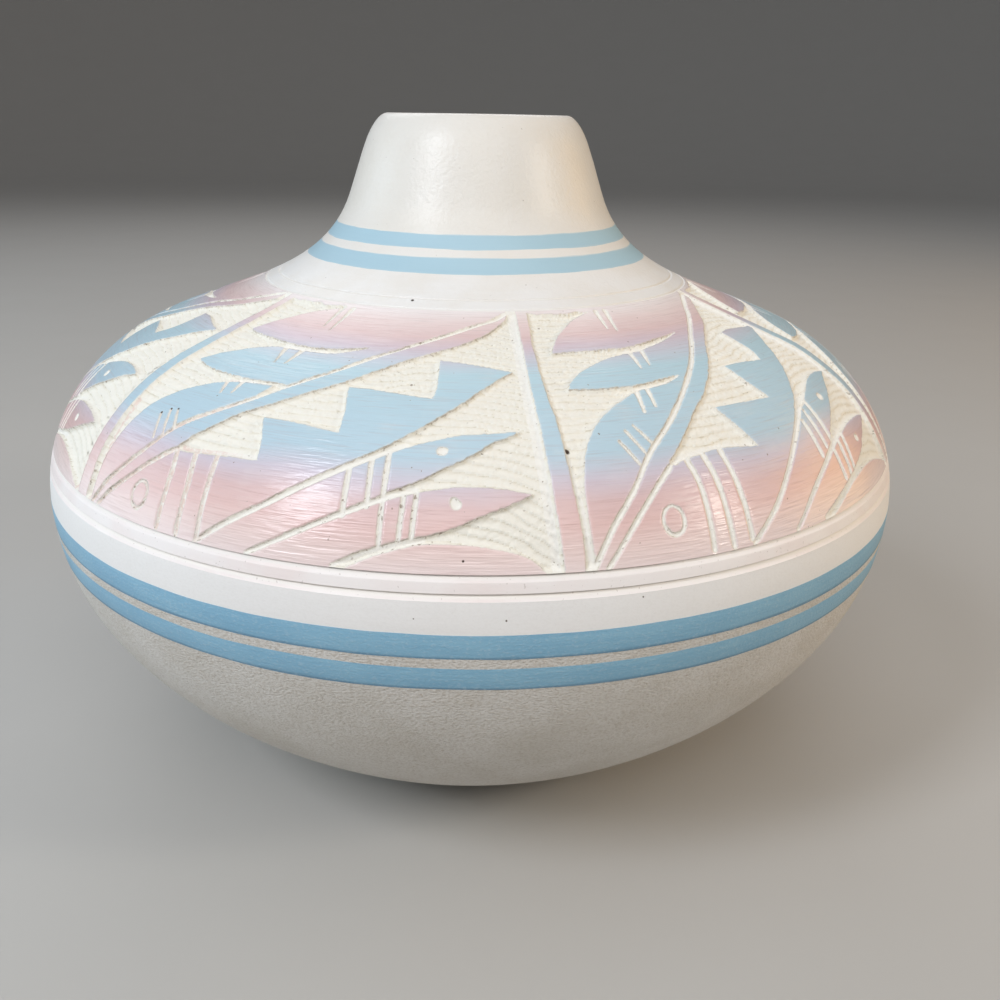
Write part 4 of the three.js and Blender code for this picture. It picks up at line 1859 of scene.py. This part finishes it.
@dataclass(frozen=True)
class CarvedClay:
    """The clay body under the carving, seen from inside the vase: cream, matte and finger-marked."""

    cream: Colour = tone(222, 214, 198)
    damp: Colour = tone(200, 190, 172)
    speck: Colour = tone(150, 132, 112)
    height: float = 0.1

    def make(self) -> bpy.types.Material:
        """Two creams in patches, with a sandy bump.

        Returns:
            The material.
        """
        paint = Paint("carved_clay")
        cloud = paint.noise(11.0, 5.0)
        tint = paint.mix(paint.step(cloud, 0.38, 0.66), self.cream, self.damp)
        tint = paint.mix(paint.specks(0.6, 0.7) * 0.4, tint, self.speck)
        return paint.finish(Base_Color=tint, Roughness=0.78 + cloud * 0.14,
                            Normal=paint.relief(paint.noise(0.5, 4.0, 0.65), self.height))


@dataclass(frozen=True)
class CarvedSlip:
    """Airbrushed slip that shades up the shoulder, and the cream clay where the tool has cut it away."""

    wall: WallLine
    shades: tuple[tuple[float, Colour], ...] = (
        (106.0, tone(236, 219, 216)), (109.5, tone(233, 210, 205)), (113.5, tone(225, 192, 187)),
        (117.2, tone(218, 188, 186)), (121.2, tone(207, 197, 207)), (126.0, tone(184, 207, 219)),
        (146.0, tone(184, 211, 221)), (150.5, tone(201, 204, 214)), (154.5, tone(211, 194, 202)),
        (158.5, tone(223, 196, 194)), (163.0, tone(232, 212, 209)), (167.0, tone(238, 229, 227)),
    )
    cream: Colour = tone(238, 234, 223)
    # painted shade for the deep end of each scoop
    painted_scoop_shade: Colour = tone(229, 221, 203)
    shadow: Colour = tone(176, 166, 140)
    # paler clay for the cut lines: partly fresh clay, partly painted light
    fresh_clay_and_painted_light: Colour = tone(241, 238, 231)
    dusty: Colour = tone(226, 205, 194)
    # brown of the grit, also used for painted shade on the cut walls
    grit_and_shade_brown: Colour = tone(126, 104, 82)
    white: Colour = tone(232, 226, 220)
    deep: Colour = tone(178, 140, 134)
    pit: Colour = tone(66, 50, 40)
    pits: tuple[Pit, ...] = (
        Pit(-1.0, 108.4, 0.26), Pit(-5.8, 118.5, 0.26), Pit(10.5, 127.2, 0.62, 0.5), Pit(-42.2, 126.9, 0.3),
        Pit(-41.0, 128.2, 0.3), Pit(-39.8, 128.6, 0.3), Pit(-8.9, 118.7, 0.2),
    )
    line_tint: tuple[Pit, ...] = (Pit(-43.0, 115.0, 26.0),)
    drift: float = 4.5
    long_brush: tuple[float, ...] = (14.0, 0.7)
    hair_brush: tuple[float, ...] = (9.0, 0.33, 2.0, 0.5)
    wheel: tuple[float, ...] = (6.0, 0.8, 2.0, 0.5)
    height: float = 0.085

    def make(self) -> bpy.types.Material:
        """Slip in shades with a worn edge, and the cut clay.

        The slip's shade follows the run with a slow drift, and thins in patches to white clay. A narrow worn
        line borders it. The cut is cream, with painted shade deep in each scoop and a painted shadow line at
        each scoop's step. Its walls have crumbs of brown grit, with painted shade that browns them more where
        the edge above faces down. The cut lines are paler, partly fresh clay and partly painted light, and
        rosy dust lies in the lines on the left. Single pits lie where the photograph shows them.

        Returns:
            The material.
        """
        paint = Paint("carved_slip")
        run, cut, scoop = (paint.attribute(name) for name in ("run", "cut", "scoop"))
        pulled, under = paint.attribute("pulled"), paint.attribute("under")
        drift = paint.noise(24.0, 3.0)
        streaky = paint.streaks(run, *self.long_brush)
        fine = paint.noise(0.5, 3.0, 0.6)
        slip = paint.ramp(run + (drift - 0.5) * self.drift, self.shades)
        thin = paint.step(paint.noise(7.0, 4.0) * 0.7 + streaky * 0.3, 0.5, 0.75)
        slip = paint.mix(thin * 0.2, slip, self.white)
        brushed = paint.streaks(run, *self.hair_brush)
        slip = paint.mix(paint.step(brushed, 0.5, 0.72) * 0.16, slip, self.deep)
        worn = paint.step(cut + (fine - 0.5) * 0.3, 0.28, 0.02)
        slip = paint.mix(worn * 0.4, slip, self.white)
        # Painted shade: darker towards the deep end of each scoop, then a painted shadow line at each scoop's
        # step
        clay = paint.mix(paint.step(scoop + (fine - 0.5) * 0.3, 0.5, 1.0) * 0.6, self.cream, self.painted_scoop_shade)
        broken = paint.step(paint.noise(2.2, 4.0, 0.7), 0.4, 0.62)
        clay = paint.mix(paint.step(scoop + (fine - 0.5) * 0.2, 0.78, 0.98) * broken * 0.5, clay, self.shadow)
        line = paint.step(pulled, 0.0, 0.25)
        dusty = paint.pits(self.wall, self.line_tint) * paint.step(paint.noise(1.2, 4.0, 0.7), 0.36, 0.56)
        # Paler cut lines: partly fresh clay, partly painted light standing in for their lit walls
        clay = paint.mix(line * 0.7, clay, self.fresh_clay_and_painted_light)
        clay = paint.mix(line * dusty * 0.85, clay, self.dusty)
        edge = cut + (fine - 0.5) * 0.16
        wall = paint.step(edge, -0.24, -0.12) * paint.step(edge, 0.05, -0.05)
        grit = paint.step(paint.noise(0.8, 4.0, 0.75) * 0.6 + paint.noise(5.0, 2.0) * 0.4, 0.4, 0.58)
        # Painted shade: the brown grit on the cut walls is made stronger where the edge above them faces down
        facing = paint.step(under, 0.1, 0.7) * 0.42 + 0.12
        clay = paint.mix(wall * grit * facing * paint.step(run, 165.8, 163.5), clay, self.grit_and_shade_brown)
        crumb = paint.step(cut, -0.5, -0.2) * paint.step(cut, 0.2, 0.0) * paint.specks(0.7, 0.64, 0.05)
        clay = paint.mix(crumb * paint.step(drift, 0.42, 0.62) * 0.6, clay, self.grit_and_shade_brown)
        clay = paint.mix(paint.specks(0.7, 0.73) * 0.35, clay, self.grit_and_shade_brown)
        open_clay = paint.step(edge, 0.03, -0.05)
        tint = paint.mix(open_clay, slip, clay)
        tint = paint.mix(paint.specks(0.9, 0.785, 0.02) * 0.7, tint, self.grit_and_shade_brown)
        tint = paint.mix(paint.pits(self.wall, self.pits), tint, self.pit)
        rough = 0.2 + streaky * 0.1 + open_clay * 0.5
        crumbly = paint.noise(0.7, 4.0, 0.7)
        wheel = paint.streaks(run, *self.wheel)
        skin = wheel * 1.7 + brushed * 0.9 + paint.noise(1.3, 3.0) * 0.3
        height = skin * (1.0 - open_clay) + crumbly * open_clay * 2.0
        return paint.finish(Base_Color=tint, Roughness=rough, Normal=paint.relief(height, self.height))


def stand(data: bpy.types.Camera | bpy.types.Light, *columns: Array) -> bpy.types.Object:
    """Puts a camera or a light in the scene.

    Args:
        data: the camera or the light.
        columns: its three axes and its place.
    Returns:
        The new object.
    """
    placed = bpy.data.objects.new(data.name, data)
    turned = np.eye(4)
    turned[:3] = np.stack(columns, axis=-1)
    placed.matrix_world = Matrix(turned.tolist())
    bpy.context.scene.collection.objects.link(placed)
    return placed


@dataclass
class Camera:
    """The photograph's view: from in front and above, solved from the outline and the painted circles."""

    place: tuple[float, float, float] = (0.0, -0.24408, 0.14960)
    yaw: float = 1.58
    pitch: float = 21.007
    roll: float = 1.0412
    lens: float = 36.0
    sensor: float = 36.0
    nearest: float = 0.01

    def set_up(self) -> None:
        """Places the camera: it looks along its yaw and pitch, and is then rolled about that line."""
        yaw, pitch, roll = np.radians([self.yaw, self.pitch, self.roll])
        forward = np.array([np.sin(yaw) * np.cos(pitch), np.cos(yaw) * np.cos(pitch), -np.sin(pitch)])
        right = np.array([np.cos(yaw), -np.sin(yaw), 0.0])
        up = np.cross(right, forward)
        across = np.cos(roll) * right + np.sin(roll) * up
        above = np.cos(roll) * up - np.sin(roll) * right
        data = bpy.data.cameras.new("camera")
        data.lens = self.lens
        data.sensor_width = self.sensor
        data.clip_start = self.nearest
        bpy.context.scene.camera = stand(data, across, above, -forward, np.array(self.place))


@dataclass(frozen=True)
class Window:
    """A soft light: where it stands seen from the pot, how large it is, how strong, and its colour."""

    name: str
    azimuth: float
    elevation: float
    wide: float
    tall: float
    power: float
    colour: Colour
    distance: float = 1.1
    aim: tuple[float, float, float] = (0.0, 0.0, 0.09)

    def set_up(self) -> None:
        """Places the light, facing the pot. Its azimuth runs from the camera's side towards +X."""
        azimuth, elevation = np.radians([self.azimuth, self.elevation])
        flat = np.array([np.sin(azimuth), -np.cos(azimuth)])
        towards = np.array([*(flat * np.cos(elevation)), np.sin(elevation)])
        right = np.array([-flat[1], flat[0], 0.0])
        up = np.cross(towards, right)
        data = bpy.data.lights.new(self.name, "AREA")
        data.shape = "RECTANGLE"
        data.size = self.wide
        data.size_y = self.tall
        data.energy = self.power
        data.color = self.colour
        stand(data, right, up, towards, np.array(self.aim) + self.distance * towards)


@dataclass
class Studio:
    """A pale seamless floor, a window on the left, a warmer one on the right, and soft light all round."""

    centre_radius: float = 0.05
    flat_radius: float = 2.2
    curve_radius: float = 1.6
    rows: int = 24
    columns: int = 128
    floor: Colour = tone(186, 184, 180)
    floor_shade: Colour = tone(176, 173, 168)
    air: Colour = (0.96, 0.97, 1.0)
    air_strength: float = 0.19
    windows: tuple[Window, ...] = (
        Window("left_window", -48.0, 39.0, 0.24, 0.38, 5.3, (0.87, 0.92, 1.0)),
        Window("right_window", 66.0, 26.0, 0.11, 0.22, 2.5, (1.0, 0.94, 0.84)),
        Window("left_side", -92.0, 8.0, 0.9, 0.7, 4.2, (0.7, 0.88, 1.0)),
        Window("right_side", 102.0, 12.0, 0.6, 0.6, 2.2, (1.0, 0.52, 0.04)),
        Window("front", 2.0, 42.0, 0.9, 0.5, 3.95, (1.0, 0.97, 0.94), 1.2),
        Window("back", 188.0, 38.0, 1.0, 0.6, 3.0, (0.98, 0.98, 1.0), 1.4),
        Window("ceiling", 0.0, 78.0, 1.2, 1.2, 3.4, (0.97, 0.98, 1.0), 1.4),
    )

    def set_up(self) -> None:
        """Makes the floor, a disc that curves up at its edge as a quarter circle, and places the lights."""
        flat = np.linspace(self.centre_radius, self.flat_radius, self.rows)
        angle = np.linspace(0.0, 0.5 * np.pi, self.rows)[1:]
        radius = np.concatenate([flat, self.flat_radius + self.curve_radius * np.sin(angle)])
        height = np.concatenate([np.zeros_like(flat), self.curve_radius * (1.0 - np.cos(angle))])
        turn = np.arange(self.columns) * 360.0 / self.columns
        skin = Skin()
        numbers = wrapped(skin.add(swing(turn[None, :], radius[:, None], height[:, None])))
        skin.weave(numbers[::-1])
        skin.cap(numbers[0, :-1])
        floor = skin.finish("floor", 1.0)
        paint = Paint("floor")
        cloud = paint.noise(60.0, 4.0)
        tint = paint.mix(cloud * 0.3, self.floor, self.floor_shade)
        floor.data.materials.append(paint.finish(Base_Color=tint, Roughness=0.6 + cloud * 0.1))
        world = bpy.data.worlds.new("air")
        world.use_nodes = True
        background = world.node_tree.nodes["Background"]
        background.inputs["Color"].default_value = (*self.air, 1.0)
        background.inputs["Strength"].default_value = self.air_strength
        bpy.context.scene.world = world
        bpy.context.scene.view_settings.view_transform = "Standard"
        for window in self.windows:
            window.set_up()


def main() -> None:
    """Builds the pot's sub-assemblies in order, dresses them, and sets up the studio and the camera."""
    logging.basicConfig(level=logging.INFO, format="%(message)s")
    pot = Pot.from_frame()
    finishes = {
        "bare_clay": BareClay(pot.marks, pot.wall).make(),
        "blue_slip": BlueSlip().make(),
        "tinted_clay": TintedClay().make(),
        "carved_clay": CarvedClay().make(),
        "field_slip": CarvedSlip(pot.wall).make(),
        "polished_clay": PolishedClay(pot.wall).make(),
    }
    for kind in (Foot, Bowl, Waist, Shoulder, Neck):
        part = kind(pot)
        part.build()
        part.dress(finishes)
        LOG.info("%s: %d pieces", kind.__name__, len(part.pieces))
    Camera().set_up()
    Studio().set_up()
    bpy.context.view_layer.update()


if __name__ == "__main__":
    main()
